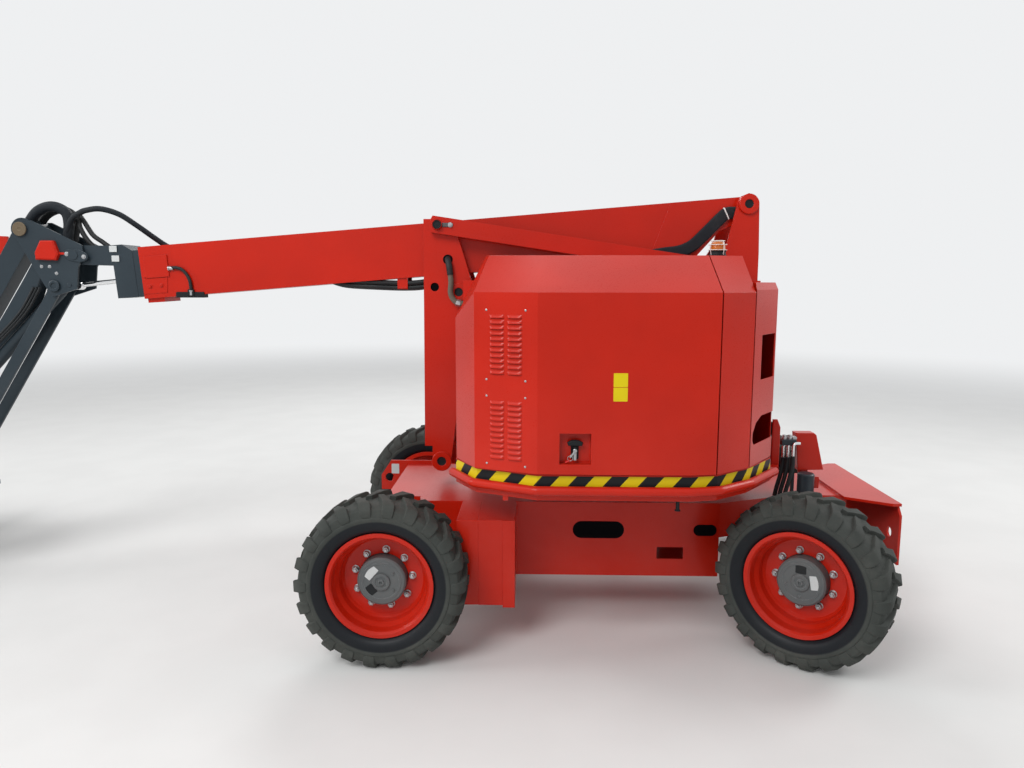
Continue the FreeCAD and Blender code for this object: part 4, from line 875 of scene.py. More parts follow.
class LIFT_OT_hood_fittings(Operator):
    """Pressed louvres, screws, latch with its key and blank labels on both hoods"""

    bl_idname = "boomlift.hood_fittings"
    bl_label = "Hood fittings"

    def execute(self, context):
        lift = context.scene.lift_trim.louvre_lift * 1000
        across = np.linspace(-1, 1, 11)
        down = np.linspace(0, 1, 6)
        rise = lift * np.sqrt(1 - across[:, None] ** 6) * np.sin(down * np.pi / 2) + 0.4
        width = np.broadcast_to(33.5 * across[:, None], rise.shape)
        drop = np.broadcast_to(13.0 - 15.5 * down, rise.shape)
        outer = np.stack([width, drop, rise], -1)
        lip = loft(np.concatenate([outer, outer[:, ::-1] - (0, 0, 1.3)], 1))
        dome = lathe([(-0.5, 5.2), (0.6, 5.2), (2.2, 4.0), (3.0, 1.8), (3.1, 0)], 12)
        label = prism(rounded(60, 59, 2.5), -0.2, 0.9, 0.2)
        panels = (957, 1329)
        for name, side in SIDES:
            body = "hood_" + name
            reshaped("hood_shell_" + name, body, hood_front, body)
            u = unit((275, side * 110, 0))
            facet = u, Z, np.cross(u, Z) * -side
            start = np.array([-595, side * 815, 0])

            def on_facet(x, z):
                """The point of the corner facet at x and z."""
                return start + u * (x + 595) / u[0] + Z * z

            spots = [on_facet(x, low + 24 * k + 4) for x in (-494, -417) for low in panels
                     for k in range(11)]
            piece("louvres_" + name, stamped(lip, spots, *facet), "red paint", body, crease=40)
            corners = [on_facet(x, low + z) for x in (-540, -371) for low in panels for z in (-24, 276)]
            piece("louvre_screws_" + name, stamped(dome, corners, *facet), "zinc steel", body)
            self.latch(name, side, body)
            labels = [outwards(label, side, 30.5, HOOD_Y, z) for z in (1314.5, 1253.5)]
            piece("blank_label_" + name, joined(labels), "yellow label", body)
        return {"FINISHED"}

    def latch(self, name, side, body):
        """T handle, its stem, lock barrel, key and red tag in the recess."""
        arc = np.linspace(math.radians(200), math.radians(340), 12)
        bow = np.column_stack([36 * np.cos(arc), 18 * np.sin(arc)]) * (1, -1)
        parts = [outwards(prism(outline, low, high, bevel), side, LATCH_X, RECESS_Y, z)
                 for outline, low, high, bevel, z in (
                     (rounded(34, 84, 8), 0, 5, 1.5, 1006),
                     (rounded(20, 56, 7), 4, 24, 3, 1000),
                     (np.vstack([bow, [(30, -6), (-30, -6)]]), 14, 34, 3, 1035))]
        piece("latch_handle_" + name, joined(parts), "black plastic", body)
        barrel = lathe([(22, 0), (22, 9), (30, 9), (31, 7.5), (31, 0)], 20)
        key = prism([(-4, 0), (4, 0), (4, 30), (2, 34), (-2, 34), (-4, 30)], 29, 32, 0.6)
        stem = prism([(-6, -26), (6, -26), (7, 6), (-7, 6)], 24, 27, 1)
        u, v = leaning(-38)
        t = np.linspace(0, 2 * np.pi, 25)
        loop = np.column_stack([-178 + 11 * np.cos(t), np.full(25, side * (RECESS_Y + 31)),
                                974 + 11 * np.sin(t)])
        bright = [outwards(barrel, side, LATCH_X, RECESS_Y, 1006),
                  placed(key, (-158, side * RECESS_Y, 1004), u, -v, side * Y),
                  outwards(stem, side, LATCH_X, RECESS_Y, 990), tube(loop, 1.3, 6)]
        piece("latch_key_" + name, joined(bright), "zinc steel", body)
        tag = [(x, side * (RECESS_Y + out), z) for x, out, z in
               ((-183, 32, 966), (-190, 33, 961), (-200, 33, 957))]
        hoses("key_tag_" + name, [tag], 3.4, 8, 10, "emergency red", 32, body=body)


class LIFT_OT_beacon(Operator):
    """Beacon: black foot, ribbed amber dome and white wire guard"""

    bl_idname = "boomlift.beacon"
    bl_label = "Beacon"

    def execute(self, context):
        place = (534.0, -420.0, float(HOOD_TOP)), 1.18 * X, 1.18 * Y, 1.22 * Z
        foot = lathe([(0.3, 0), (0.3, 37), (5, 37.5), (8, 33), (17, 32), (19, 34), (23, 34), (24, 31),
                      (24, 0)], 36)
        piece("beacon_foot", placed(foot, *place), "black plastic", "turntable", node="beacon")
        t = np.linspace(0, 2 * np.pi, 72, endpoint=False)
        z = np.array([23.5, 26, 34, 42, 50, 55, 58.5, 60, 60.3])
        r = np.array([29, 30, 30, 29.4, 27, 23, 16, 7, 0.0])
        ribs = 1 + 0.022 * np.cos(24 * t)[None] * np.clip(r / 30, 0, 1)[:, None]
        rings = np.stack([r[:, None] * ribs * np.cos(t), r[:, None] * ribs * np.sin(t),
                          np.broadcast_to(z[:, None], (9, 72))], -1)
        lens = rings.reshape(-1, 3), grid_faces(9, 72, around=True) + [list(range(72))[::-1]]
        piece("beacon_lens", placed(lens, *place), "amber lens", "turntable")
        wires = []
        turn = np.linspace(0, 2 * np.pi, 41)
        for height, size in ((26, 36), (46, 36), (61, 27)):
            loop = np.column_stack([size * np.cos(turn), size * np.sin(turn), np.full(41, height)])
            wires.append(tube(loop, 1.5, 6, across=Z))
        for a in np.arange(4) * np.pi / 2 + 0.5:
            way = np.array([(33, 8), (36, 22), (36, 46), (31, 58), (26, 61.5)])
            leg = np.column_stack([way[:, 0] * math.cos(a), way[:, 0] * math.sin(a), way[:, 1]])
            wires.append(tube(smooth(leg, 14), 1.5, 6, across=(-math.sin(a), math.cos(a), 0)))
        piece("beacon_guard", placed(joined(wires), *place), "white wire", "turntable")
        return {"FINISHED"}


def on_boom(x, z):
    """A point given along and above the main boom from its pivot at rest, as (x, z)."""
    foot = pivot("boom_luff")
    along = -AXIS["boom_telescope"]
    return foot[0] + x * along[0] - z * along[2], foot[2] + x * along[2] + z * along[0]


class LIFT_OT_boom_fittings(Operator):
    """Hose sleeve at the boom's foot, collar plates, bolts and hose at its front end"""

    bl_idname = "boomlift.boom_fittings"
    bl_label = "Boom fittings"

    def execute(self, context):
        foot = pivot("boom_luff")
        line = [(706, -126, 2064), (684, -126, 2071), (643, -126, 2069), (614, -126, 2046),
                (570, -125, 2001), (521, -124, 1951), (472, -123, 1906), (411, -121, 1879),
                (330, -119, 1868), (240, -118, 1853), (150, -117, 1836)]
        path = smooth(line, 60)
        between = ("rear_upright", "boom_outer", (foot[0] - 50, 0, foot[2] - 40),
                   (foot[0] - 330, 0, foot[2] - 220))
        piece("boom_foot_sleeve", swept(path, rounded(62, 21, 9.5, 6)), "woven sleeve",
              between=between, crease=60)
        piece("sleeve_clip", swept(path[12:14], rounded(66, 25, 10, 6)), "white wire",
              slot="black_plastic", between=between, crease=60)
        for name, side in SIDES:
            self.collar(name, side)
        line = [(-2250, -105, 1792), (-2241, -112, 1793), (-2212, -116, 1794), (-2184, -116, 1784),
                (-2160, -116, 1758), (-2146, -116, 1726), (-2142, -115, 1690), (-2143, -108, 1660)]
        hoses("collar_hose", [line], 8.5, crease=32, body="boom_outer")
        end = lathe([(0, 0), (0, 13), (6, 13), (7, 10), (26, 10), (26, 0)], 16)
        ends = [placed(end, (-2258, -112, 1791), Y, Z, X), placed(end, (-2143, -110, 1676), X, Y, -Z)]
        piece("collar_hose_ends", joined(ends), "zinc steel", "boom_outer")
        block = [box(-2225, -2075, -112, -62, 1638, 1668, 4), box(-2160, -2128, -118, -92, 1650, 1682, 3)]
        piece("collar_block", joined(block), "black plastic", "boom_outer")
        self.belly_hoses()
        return {"FINISHED"}

    def belly_hoses(self):
        """Hoses clipped under the boom, which run in between the plates of the front post."""
        lines = [[(-1420, y, 1746 + k), (-1330, y, 1722 + k), (-1160, y, 1712 + k), (-1020, y, 1708 + k),
                  (-920, y, 1714 + k), (-830, y, 1738 + k), (-740, y, 1792)] for y, k in
                 ((-84, 8), (-58, -4), (-32, 6), (-6, -2), (34, 4), (-76, -16), (-44, -20), (-16, -17))]
        hoses("belly_hoses", lines, 13, body="boom_outer")
        clip = [box(-1052, -998, y0, y1, 1688, 1792, 2) for y0, y1 in ((-97, -89), (45, 53))]
        clip.append(box(-1052, -998, -97, 53, 1684, 1692, 2))
        piece("belly_clip", joined(clip), "red paint", "boom_outer")

    def collar(self, name, side):
        """Raised plates, two bolts and the upper seam on the boom's front end."""
        upper = [(-2386, 1846), (-2262, 1852), (-2268, 1750), (-2393, 1743)]
        lower = [(-2393, 1737), (-2268, 1744), (-2272, 1664), (-2399, 1655)]
        plates = []
        for rows, high in ((upper, 6), (lower, 3)):
            x, z = np.mean(rows, 0)
            plates.append(outwards(prism(rows - np.array([x, z]), -0.5, high, 1.2), side, x, BOOM_Y, z))
        piece("collar_plates_" + name, joined(plates), "red paint", "boom_outer")
        bolts = [outwards(bolt(8, 6), side, x, BOOM_Y + 3, z) for x, z in ((-2362, 1696), (-2302, 1701))]
        piece("collar_bolts_" + name, joined(bolts), "red paint", "boom_outer")


class LIFT_OT_jib_fittings(Operator):
    """Hoses over the jib head, red covers, pin plates and blank labels"""

    bl_idname = "boomlift.jib_fittings"
    bl_label = "Jib head fittings"

    def execute(self, context):
        trim = context.scene.lift_trim
        thick, thin = trim.thick_hose * 1000, trim.thin_hose * 1000
        nose, elbow = pivot("head_level"), pivot("jib_raise")
        over = {"between": ("jib_arm", "jib_head", elbow + (-20, 0, 0), elbow + (95, 0, 60))}
        back = {"between": ("jib_head", "boom_inner", (nose[0] - 30, 0, nose[2] + 60),
                            (nose[0] + 110, 0, nose[2] + 40))}
        bundle = [(-3070, -28, 1962), (-3052, -30, 2006), (-3026, -30, 2048), (-2986, -30, 2092),
                  (-2929, -28, 2117), (-2876, -24, 2112), (-2838, -18, 2083), (-2832, -12, 2030),
                  (-2842, -8, 1975), (-2852, -4, 1925)]
        second = [(x + 8, 34 - y * 0.2, z - 12) for x, y, z in bundle]
        inner = [(-2836, -6, 1960), (-2822, 0, 2020), (-2806, 4, 2056), (-2788, 2, 2046),
                 (-2776, -4, 2005), (-2742, -8, 1946), (-2700, -8, 1902), (-2660, -6, 1868)]
        outer = [(-2850, 14, 1960), (-2826, 16, 2040), (-2796, 14, 2078), (-2762, 8, 2044),
                 (-2714, 2, 1971), (-2660, -2, 1932), (-2610, -6, 1896), (-2570, -6, 1868)]
        arc = [(-2840, -24, 1985), (-2818, -30, 2030), (-2790, -38, 2062), (-2752, -44, 2082),
               (-2714, -46, 2096), (-2640, -40, 2104), (-2554, -18, 2078), (-2480, 18, 2022),
               (-2420, 62, 1966), (-2370, 104, 1920), (-2310, 124, 1884), (-2250, 126, 1868)]
        hoses("jib_hose_bundle", [bundle], thick, 16, 64, "woven sleeve", **over)
        hoses("jib_hose_far", [second], thick * 0.8, 14, 64, **over)
        hoses("jib_hose_inner", [inner], thin, 12, 56, **back)
        hoses("jib_hose_outer", [outer], thin, 12, 56, **back)
        hoses("jib_hose_arc", [arc], thin * 1.15, 14, 80, "woven sleeve", **back)
        self.carrier()
        self.arm_web()
        for name, side in SIDES:
            self.head_side(name, side)
        return {"FINISHED"}

    def arm_web(self):
        """Web plates under the jib arm, beside the cylinder, and hoses clipped to them."""
        rows = [(-3010, 1850), (-2992, 1742), (-3052, 1600), (-3120, 1520), (-3250, 1398),
                (-3420, 1240), (-3460, 1180), (-3380, 1300), (-3200, 1560), (-3080, 1740)]
        webs = [outwards(prism(rows, 40, 44), side, 0, 0, 0) for _, side in SIDES]
        piece("jib_web", joined(webs), "slate paint", "jib_arm")
        guard = [(-3242, 1968), (-3345, 1972), (-3385, 1850), (-3330, 1610), (-3238, 1745), (-3230, 1870)]
        piece("jib_far_guard", outwards(prism(guard, 80, 98, 3), 1, 0, 0, 0), "red paint", "jib_arm")
        line = np.array([(-2990, 0, 1690), (-3060, 0, 1580), (-3130, 0, 1500), (-3260, 0, 1378),
                         (-3420, 0, 1228), (-3560, 0, 1060)])
        lines = [line + (shift, y, 0) for y, shift in ((-52, 0), (-52, -18), (-52, -36), (52, -10))]
        hoses("jib_web_hoses", lines, 7, 10, body="jib_arm")

    def carrier(self):
        """Guide tube of the far hose: it rides with the inner boom along the outer one."""
        x0, z0 = on_boom(-3070, -45)
        x1, z1 = on_boom(-1900, -45)
        a, b = on_boom(-3195, -45)
        rail = swept([(x0, 127, z0), (0.5 * (x0 + x1), 127, 0.5 * (z0 + z1)), (x1, 127, z1)],
                     rounded(38, 24, 4, 3))
        arm = swept([(a, 96, b), (a + 10, 110, b + 1), (a + 50, 124, b + 4), (x0 + 8, 127, z0 + 1)],
                    rounded(34, 7, 2, 3), across=Z)
        piece("hose_carrier", joined([rail, arm]), "slate paint", "boom_inner")

    def head_side(self, name, side):
        """Red cover, oval plate, rings and bolts on one side of the jib head."""
        rows = [(-2934, 1935), (-2864, 1935), (-2841, 1866), (-2858, 1832), (-2965, 1836), (-2966, 1875)]
        middle = np.mean(rows, 0)
        cover = outwards(prism(rows - middle, -0.5, 27, 7), side, middle[0], HEAD_Y, middle[1])
        lug = outwards(prism(rounded(34, 12, 5), -0.5, 8, 2), side, -2832, HEAD_Y, 1868)
        piece("jib_cover_" + name, joined([cover, lug]), "red paint", "jib_head")
        nose, knee, elbow = pivot("head_level"), pivot("jib_link_turn"), pivot("jib_raise")
        u, v = leaning(-9)
        middle = np.array([nose[0] + 12, side * HEAD_Y, nose[2] - 2])
        oval = placed(prism(circle(67, 40, 0.5), -0.5, 6, 2), middle, u, v, side * Y)
        ring = outwards(lathe([(0, 0), (0, 30), (5, 30), (7, 27), (7, 17), (2, 15), (2, 0)], 32), side,
                        knee[0], 99, knee[2])
        piece("jib_pin_plates_" + name, joined([oval, ring]), "slate paint", "jib_head")
        tips = [placed(bolt(8, 6), middle + 6 * side * Y + k * u, u, v, side * Y) for k in (-46, 46)]
        tips += [outwards(bolt(6, 5), side, x, HEAD_Y, z)
                 for x, z in ((-2948, 1800), (-2905, 1800), (-2870, 1764))]
        piece("jib_head_bolts_" + name, joined(tips), "zinc steel", "jib_head")
        washer = lathe([(0, 0), (0, 37), (5, 37), (6.5, 35.5), (6.5, 9), (5, 8), (5, 0)], 36)
        piece("jib_pin_washer_" + name, outwards(washer, side, elbow[0], 99, elbow[2]), "bronze washer",
              "jib_head")
        label = prism(rounded(40, 32, 2), -0.3, 0.8, 0.2)
        for k, (x, z) in enumerate(((-2555, 1892), (-2545, 1842))):
            piece(f"grey_label_{k}_{name}", outwards(label, side, x, 97, z), "pale label", "boom_inner")


class LIFT_OT_arm_pins(Operator):
    """Pin ends, keeper bars, their bolts, and the hose loop on the front post"""

    bl_idname = "boomlift.arm_pins"
    bl_label = "Arm pins"

    def execute(self, context):
        places = (
            # name, joint, outer face, pin radius, boss radius, body
            ("boom_pin", "boom_luff", 172.0, 22, 50, "rear_upright"),
            ("post_link_pin", "upper_link_turn", 218.0, 22, 25, "front_knuckle"),
            ("post_arm_pin", "upper_arm_turn", ARM_FACE_Y, 22, 48, "front_knuckle"),
            ("foot_arm_pin", "knuckle_level", ARM_FACE_Y, 24, 52, "front_knuckle"))
        for name, joint, face, radius, rim, body in places:
            x, _, z = pivot(joint)
            tip = lathe([(-1, 0), (-1, radius), (4, radius), (5, radius - 1), (5, radius - 5),
                         (3, radius - 7), (3, 0)], 32)
            ring = lathe([(-1, radius), (-1, rim), (7, rim), (9, rim - 2), (9, radius + 2),
                          (7, radius)], 48, around=True)
            for label, side in SIDES:
                piece(f"{name}_{label}", outwards(tip, side, x, face, z), "black plastic", body,
                      slot="bare_steel")
                piece(f"{name}_boss_{label}", outwards(ring, side, x, face, z), "red paint", body)
        x, _, z = pivot("upper_link_turn")
        for label, side in SIDES:
            bar = outwards(prism(rounded(100, 20, 9), 0, 7, 1.5), side, x + 30, 206.3, z - 1)
            piece("keeper_bar_" + label, bar, "grey casting", "upper_link", slot="bare_steel")
            piece("keeper_bolt_" + label, outwards(bolt(8, 6), side, x + 66, 213, z - 1), "zinc steel",
                  "upper_link")
            self.post_hose(label, side)
        return {"FINISHED"}

    def post_hose(self, label, side):
        """Hose out of the post's hole, round the arm pin and into the upper arm."""
        rim = lathe([(-2, 12), (-2, 25), (1.5, 25), (2.5, 23), (2.5, 12)], 28, around=True)
        # Black disc and rim: painted shade in the post's hole and round the hose where it goes in.
        dark = [outwards(prism(circle(27, 28), 0, 3), side, -846, 156, 1696),
                outwards(rim, side, -778, ARM_FACE_Y, 1836)]
        piece("post_hole_shade_" + label, joined(dark), "painted hole shade", "front_knuckle")
        turn = pivot("upper_arm_turn")
        line = [(-778, 140, 1838), (-777, 172, 1834), (-768, 189, 1796), (-760, 192, 1726),
                (-762, 192, 1662), (-738, 192, 1622), (-700, 192, 1612), (-656, 186, 1617),
                (-616, 168, 1628), (-590, 150, 1634)]
        path = smooth(np.array(line) * (1, side, 1), 64)
        between = ("front_knuckle", "upper_arm", (turn[0] - 30, 0, turn[2] - 40),
                   (turn[0] + 60, 0, turn[2] - 50))
        piece("post_hose_" + label, tube(path, 14, 14), "dusty conduit", between=between, crease=60)
        piece("post_hose_nut_" + label, swept(path[36:41], circle(18, 6)), "zinc steel", "upper_arm")
        piece("post_hose_end_" + label, tube(path[5:19], 16.5, 14), "hose rubber", "front_knuckle",
              crease=60)


class LIFT_OT_cylinder_fittings(Operator):
    """Gland nuts and port blocks on the four cylinders, hard pipes on the two large ones"""

    bl_idname = "boomlift.cylinder_fittings"
    bl_label = "Cylinder fittings"

    def execute(self, context):
        t = np.linspace(0, 2 * np.pi, 48, endpoint=False)
        knurl = 1 + 0.03 * np.sign(np.cos(12 * t))
        port = joined([box(-15, 15, -13, 13, -6, 18, 3), placed(bolt(9, 9), (0, 0, 18))])
        for name in ("tower", "lift", "level", "jib"):
            points = node_points(name + "_cylinder_barrel")
            axis = unit(AXIS[name + "_stroke"])
            base = pivot(name + "_swing")
            along = (points - base) @ axis
            end = along.max()
            near = points[along > end - 1] - base
            reach = np.linalg.norm(near - np.outer(near @ axis, axis), axis=1).max()
            up = np.cross(axis, Y)
            up = up if up[2] > 0 else -up
            rings = np.stack([np.stack([knurl * r * np.cos(t), knurl * r * np.sin(t), np.full(48, z)], -1)
                              for z, r in ((-34, reach + 1), (-32, reach + 4), (-6, reach + 4),
                                           (-3, reach + 2))])
            gland = placed(loft(rings), base + axis * end, up, np.cross(axis, up), axis)
            ports = [placed(port, base + axis * at + up * reach, axis, np.cross(up, axis), up)
                     for at in (75.0, end - 62)]
            body = name + "_barrel"
            piece(name + "_gland", joined([gland] + ports), "slate paint", body)
            if name in ("tower", "lift"):
                pipe = [base + axis * s + up * (reach + h) for s, h in
                        ((75, 14), (88, 30), (112, 34), (end - 100, 34), (end - 76, 30), (end - 62, 14))]
                piece(name + "_pipe", tube(eased(pipe, 8), 5, 10), "zinc steel", body)
        return {"FINISHED"}


class LIFT_OT_chassis_fittings(Operator):
    """Ring bolts, valve cover, hoses and pipes at the tail, axle covers, and step fronts, slot shade and labels on
    the frame's sides
    """

    bl_idname = "boomlift.chassis_fittings"
    bl_label = "Chassis fittings"

    def execute(self, context):
        piece("ring_bolts", stamped(bolt(9, 8), ring_of(24, 352) + (0, 0, DECK_Z)), "zinc steel", "chassis")
        dome = lathe([(0, 0), (0, 118), (10, 118), (26, 96), (44, 60), (50, 0)], 36)
        axle = [placed(dome, (x + way * 88, 0, 388), Y, Z, way * X)
                for x in (-1015, 1015) for way in (-1, 1)]
        piece("axle_covers", joined(axle), "slate paint", "chassis")
        for name, side in SIDES:
            self.frame_side(name, side)
        self.tail_valves()
        return {"FINISHED"}

    def frame_side(self, name, side):
        """Front part of the step box, black sheets painted as the shade inside the slots, and a blank label on the
        lug.
        """
        low, high = sorted((side * (CHASSIS_Y + 0.2), side * 700.0))
        piece("step_front_" + name, box(-690, -590, low, high, 216, DECK_Z, 2), "red paint", "chassis")
        # Black sheets in the slots: painted shade.
        slots = [outwards(prism(rounded(width, high, high / 2 - 0.5, 9), 0, 1), side, x, CHASSIS_Y, z)
                 for x, z, width, high in ((-5, 484, 258, 88), (530, 486, 116, 58))]
        piece("slot_shade_" + name, joined(slots), "painted hole shade", "chassis")
        label = placed(prism(rounded(46, 60, 3), -0.3, 0.8, 0.2), (-1170, side * (CHASSIS_Y - 12), 598),
                       X, Z, -side * Y)
        piece("lug_label_" + name, label, "pale label", "chassis")

    def tail_valves(self):
        """Sheet cover on its foot, valve block with steel elbows, hoses into the deck, and the
        accumulator under the cover."""
        rows = [(1023, 950), (1116, 950), (1128, 940), (1172, 757), (1041, 753)]
        foot = [(1060, 755), (1110, 755), (1110, DECK_Z), (1070, DECK_Z)]
        sheets = [placed(prism(outline[::-1], -62, high, bevel), (0, -205, 0), X, Z, -Y)
                  for outline, high, bevel in ((rows, 0, 2), (foot, -50, 1))]
        piece("valve_hood", joined(sheets), "red paint", "chassis", node="valve_cover")
        lug = placed(prism(rounded(30, 60, 5), -30, 0, 2), (1136, -212, 690), X, Z, -Y)
        piece("valve_lug", lug, "red paint", "chassis")
        block = [box(936, 1010, -258, -216, 896, 926, 5), box(1000, 1014, -236, -216, DECK_Z, 900)]
        piece("tail_manifold", joined(block), "slate paint", "chassis")
        cap = lathe([(-6, 0), (-6, 13), (10, 13), (12, 10), (20, 10), (22, 7), (22, 0)], 18)
        caps = [placed(cap, (x, -238, 926)) for x in (952, 980)] + [box(992, 1012, -252, -222, 926, 940, 3)]
        piece("tail_valve_caps", joined(caps), "zinc steel", "chassis")
        drops = ((-268, 990, 0), (-250, 970, 8), (-232, 952, 14))
        elbows = [tube(eased([(x + 34, y, 908 - k), (x, y, 908 - k), (x, y, 838 - k)], 16), 8, 12)
                  for y, x, k in drops]
        piece("tail_elbows", joined(elbows), "chrome", "chassis")
        lines = [[(x, y, 842 - k), (x - 2, y - 2, 790), (x - 12, y - 4, 730), (x - 26, y - 2, 670),
                  (x - 34, y, 622)] for y, x, k in drops]
        hoses("tail_hoses", lines, 11, 12, 30, crease=32, body="chassis")
        drum = lathe([(0, 0), (0, 38), (4, 42), (96, 42), (102, 36), (104, 0)], 32)
        piece("tail_accumulator", placed(drum, (1068, -250, 640), X, Y, 1.08 * Z), "slate paint", "chassis")


class LIFT_OT_turntable_fittings(Operator):
    """Tail cowls, counterweight and its bolts, tail stays with rollers, and the lock pin"""

    bl_idname = "boomlift.turntable_fittings"
    bl_label = "Turntable fittings"

    def execute(self, context):
        plan = [(812, -395), (846, -300), (896, -150), (896, 150), (846, 300), (812, 395)]
        piece("cast_weight", prism(plan, 810, 1500, 14), "red paint", "turntable", node="counterweight")
        bolts = [placed(bolt(15, 12), (896, y, z), Y, Z, X) for y in (-90, 90) for z in (900, 1400)]
        piece("weight_bolts", joined(bolts), "zinc steel", "turntable")
        stay = prism([(868, 800), (906, 800), (906, 1000), (890, 1040), (868, 1040)], 0, 14, 2)
        roller = lathe([(0, 0), (0, 30), (4, 34), (30, 34), (34, 30), (34, 10), (38, 8), (38, 0)], 32)
        for name, side in SIDES:
            reshaped("tail_shell_" + name, "tail_cowl_" + name, tail_window, "turntable")
            piece("tail_stay_" + name, outwards(stay, side, 0, 300, 0), "red paint", "turntable")
            wheel = outwards(roller, side, 862, 262, 990)
            piece("tail_roller_" + name, wheel, "black plastic", "turntable")
        pin = joined([tube([(292, -884, 800), (292, -884, 742)], 8, 14, across=X),
                      placed(lathe([(0, 0), (0, 13), (4, 13), (4, 0)], 16), (292, -884, 738))])
        piece("slew_lock_pin", pin, "black plastic", "turntable")
        piece("edge_tab", box(-470, -446, -838, -812, 764, 786, 2), "red paint", "turntable")
        return {"FINISHED"}


class LIFT_OT_platform_fittings(Operator):
    """Control panel, foot switch and harness rings on the platform"""

    bl_idname = "boomlift.platform_fittings"
    bl_label = "Platform fittings"

    def execute(self, context):
        box_points = node_points("control_box")
        low, high = box_points.min(0), box_points.max(0)
        top_front = np.array([low[0], 0, high[2]])
        top_back = np.array([high[0], 0, box_points[np.argmax(box_points[:, 0])][2]])
        w = np.cross(Y, unit(top_back - top_front))
        w = w if w[2] > 0 else -w
        v = np.cross(w, Y)
        middle = (top_front + top_back) / 2

        def on_panel(part, x, y):
            """The part standing on the sloped face, x across and y up it."""
            return placed(part, middle + Y * x + v * y, Y, v, w)

        piece("panel_sheet", on_panel(prism(rounded(404, 150, 10), -0.5, 1.6, 0.4), 0, 0), "pale label",
              "platform")
        boot = lathe([(1, 0), (1, 26), (8, 25), (12, 20), (16, 21), (20, 15), (24, 16), (30, 9),
                      (30, 0)], 24)
        stick = lathe([(28, 0), (28, 6), (58, 6), (62, 12), (84, 15), (96, 12), (100, 0)], 20)
        sticks = [on_panel(part, x, -10) for x in (-130, 0) for part in (boot, stick)]
        toggle = joined([lathe([(0, 0), (0, 9), (4, 9), (5, 6), (5, 0)], 16),
                         lathe([(4, 0), (4, 3), (22, 4.5), (24, 3), (24, 0)], 10)])
        switches = [on_panel(toggle, x, y) for x in (60, 92, 124) for y in (-40, 20)]
        piece("panel_sticks", joined(sticks), "black plastic", "platform")
        piece("panel_switches", joined(switches), "zinc steel", "platform")
        stop = lathe([(0, 0), (0, 20), (3, 20), (3, 10), (14, 10), (16, 21), (22, 22), (27, 17),
                      (29, 0)], 28)
        piece("panel_stop", on_panel(stop, 172, -4), "emergency red", "platform")
        collar = lathe([(0, 21), (0, 30), (2.5, 30), (3.5, 28), (3.5, 21)], 28, around=True)
        piece("panel_stop_ring", on_panel(collar, 172, -4), "yellow label", "platform",
              slot="black_plastic")
        low, high = node_box("platform_floor")
        step = np.array([low[0] + 170, -60, high[2]])
        guard = eased([(56, -50, 0), (56, -50, 66), (56, 50, 66), (56, 50, 0)], 18, 6)
        pedal = [placed(prism(rounded(150, 110, 10), 0, 12, 3), step),
                 placed(prism(rounded(96, 84, 8), 0, 9, 3), step + (-4, 0, 24), unit((1, 0, 0.16)), Y,
                        unit((-0.16, 0, 1))),
                 placed(tube(guard, 5, 10, across=X), step + (0, 0, 10))]
        piece("foot_switch", joined(pedal), "black plastic", "platform")
        low, high = node_box("platform_rails")
        t = np.linspace(0, 2 * np.pi, 25)
        loops = [np.column_stack([x + 24 * np.cos(t), np.full(25, side * (high[1] - 17)),
                                  high[2] - 48 + 24 * np.sin(t)])
                 for x in (low[0] + 240, high[0] - 240) for side in (-1, 1)]
        piece("harness_rings", joined([tube(loop, 5, 8) for loop in loops]), "zinc steel", "platform")
        return {"FINISHED"}


# Studio


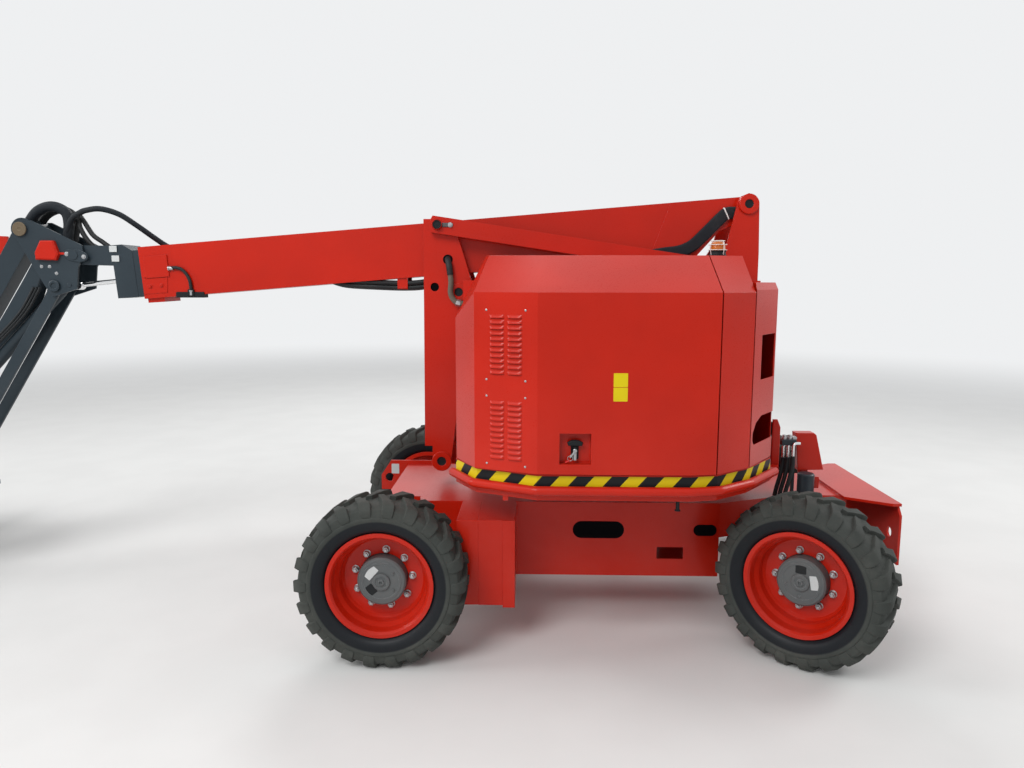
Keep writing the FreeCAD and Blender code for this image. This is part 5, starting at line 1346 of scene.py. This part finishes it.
class LIFT_OT_studio(Operator):
    """Pale floor, soft lamps, even light from all round and the photograph's camera"""

    bl_idname = "boomlift.studio"
    bl_label = "Studio"

    def execute(self, context):
        scene = context.scene
        settings = scene.lift_studio
        self.camera(scene, settings)
        self.floor(scene, settings)
        self.world(scene, settings)
        for name, spot, target, size, power in (
                ("key lamp", (-2.2, -6.5, 7.0), (-0.2, 0, 1.0), 4.5, settings.key),
                ("left lamp", (-8.0, -1.5, 5.0), (-0.5, 0, 1.0), 4.0, settings.fill),
                ("right lamp", (8.5, 1.0, 5.5), (0.5, 0, 1.0), 4.0, settings.fill),
                ("back lamp", (0.5, 7.5, 6.5), (0, 0, 1.0), 4.5, settings.fill)):
            lamp = bpy.data.lights.new(name, "AREA")
            lamp.shape = "DISK"
            lamp.size = size
            lamp.energy = power
            made = bpy.data.objects.new(name, lamp)
            scene.collection.objects.link(made)
            made.location = spot
            made.rotation_euler = aim(spot, target)
        scene.view_settings.view_transform = "Standard"
        return {"FINISHED"}

    def camera(self, scene, settings):
        """Placed where the photograph was taken: 7.72 degrees down, 1.58 turned to the boom."""
        lens = bpy.data.cameras.new("photo camera")
        lens.sensor_width = 36.0
        lens.lens = settings.focal
        made = bpy.data.objects.new("photo camera", lens)
        scene.collection.objects.link(made)
        made.location = (SLEW_X - 0.340, -4.101, 1.727)
        down, turn, roll = math.radians(7.72), math.radians(1.58), math.radians(-0.07)
        made.rotation_euler = (math.pi / 2 - down, roll, turn)
        scene.camera = made

    def floor(self, scene, settings):
        """A disc whose far ground fades into the plain backdrop colour."""
        rings = np.concatenate([[0.0], np.geomspace(1.5, 60, 24)])
        verts, faces = lathe(np.column_stack([0 * rings, rings]), 72)
        mesh = bpy.data.meshes.new("studio_floor")
        mesh.from_pydata(verts.tolist(), [], faces)
        work = bmesh.new()
        work.from_mesh(mesh)
        bmesh.ops.remove_doubles(work, verts=work.verts, dist=1e-6)
        work.to_mesh(mesh)
        work.free()
        if mesh.polygons[10].normal.z < 0:
            mesh.flip_normals()
        made = bpy.data.objects.new("studio_floor", mesh)
        scene.collection.objects.link(made)
        material, tree, shader, place = new_material("pale floor")
        tone = use(tree, "grain", place, Scale=2.2, Depth=1.0)
        quiet = ramp(tree, tone["Tone"], 0.88, 1.12, 0.985, 1.015)
        tree.links.new(toned(tree, tuple(settings.floor), quiet), shader.inputs["Base Color"])
        shader.inputs["Roughness"].default_value = 0.75
        far = add_node(tree, "VectorMath", {0: place}, operation="LENGTH").outputs["Value"]
        seen = add_node(tree, "LightPath").outputs["Is Camera Ray"]
        share = sums(tree, "MULTIPLY", ramp(tree, far, 6.0, 18.0), seen)
        glow = add_node(tree, "Emission", {"Color": BACKDROP, "Strength": 1.0})
        mix = add_node(tree, "MixShader", {0: share, 1: shader.outputs[0], 2: glow.outputs[0]})
        tree.links.new(mix.outputs[0], tree.nodes["Material Output"].inputs["Surface"])
        mesh.materials.append(material)

    def world(self, scene, settings):
        """Even light; camera and mirror rays see the plain backdrop colour."""
        world = bpy.data.worlds.new("studio light")
        scene.world = world
        world.use_nodes = True
        tree = world.node_tree
        tree.nodes.clear()
        path = add_node(tree, "LightPath").outputs
        seen = sums(tree, "MAXIMUM", sums(tree, "MAXIMUM", path["Is Camera Ray"], path["Is Glossy Ray"]),
                    path["Is Transmission Ray"])
        strength = ramp(tree, seen, 0.0, 1.0, settings.sky, 1.0)
        glow = add_node(tree, "Background", {"Color": BACKDROP, "Strength": strength})
        end = add_node(tree, "OutputWorld")
        tree.links.new(glow.outputs[0], end.inputs["Surface"])


def aim(spot, target):
    """Euler angles that turn a lamp at spot to look at target."""
    way = unit(np.subtract(target, spot))
    return math.acos(-way[2]), 0.0, math.atan2(way[1], way[0]) - math.pi / 2


STEPS = (
    LIFT_OT_studio, LIFT_OT_finish_nodes, LIFT_OT_tyres, LIFT_OT_wheel_fittings, LIFT_OT_edge_bars,
    LIFT_OT_hood_fittings, LIFT_OT_beacon, LIFT_OT_boom_fittings, LIFT_OT_jib_fittings,
    LIFT_OT_arm_pins, LIFT_OT_cylinder_fittings, LIFT_OT_chassis_fittings,
    LIFT_OT_turntable_fittings, LIFT_OT_platform_fittings)
SETTINGS = {
    "lift_colours": LiftColours,
    "lift_tyres": TyreSizes,
    "lift_trim": TrimSizes,
    "lift_studio": StudioSettings,
}


class LIFT_PT_sidebar(Panel):
    """Lists the sizes and colours, and a button for each group of pieces"""

    bl_idname = "LIFT_PT_sidebar"
    bl_label = "Boom lift"
    bl_space_type = "VIEW_3D"
    bl_region_type = "UI"
    bl_category = "Boom lift"

    def draw(self, context):
        for label, group in SETTINGS.items():
            part = self.layout.box()
            part.label(text=group.__doc__.rstrip("."))
            for name in group.__annotations__:
                part.prop(getattr(context.scene, label), name)
        column = self.layout.column(align=True)
        for step in STEPS:
            column.operator(step.bl_idname)


def register():
    for cls in (*SETTINGS.values(), *STEPS, LIFT_PT_sidebar):
        bpy.utils.register_class(cls)
    for label, group in SETTINGS.items():
        setattr(bpy.types.Scene, label, PointerProperty(type=group))


def unregister():
    for label in SETTINGS:
        delattr(bpy.types.Scene, label)
    for cls in (LIFT_PT_sidebar, *reversed(STEPS), *SETTINGS.values()):
        bpy.utils.unregister_class(cls)


def main():
    register()
    for step in STEPS:
        group, name = step.bl_idname.split(".")
        getattr(getattr(bpy.ops, group), name)()


if __name__ == "__main__":
    main()
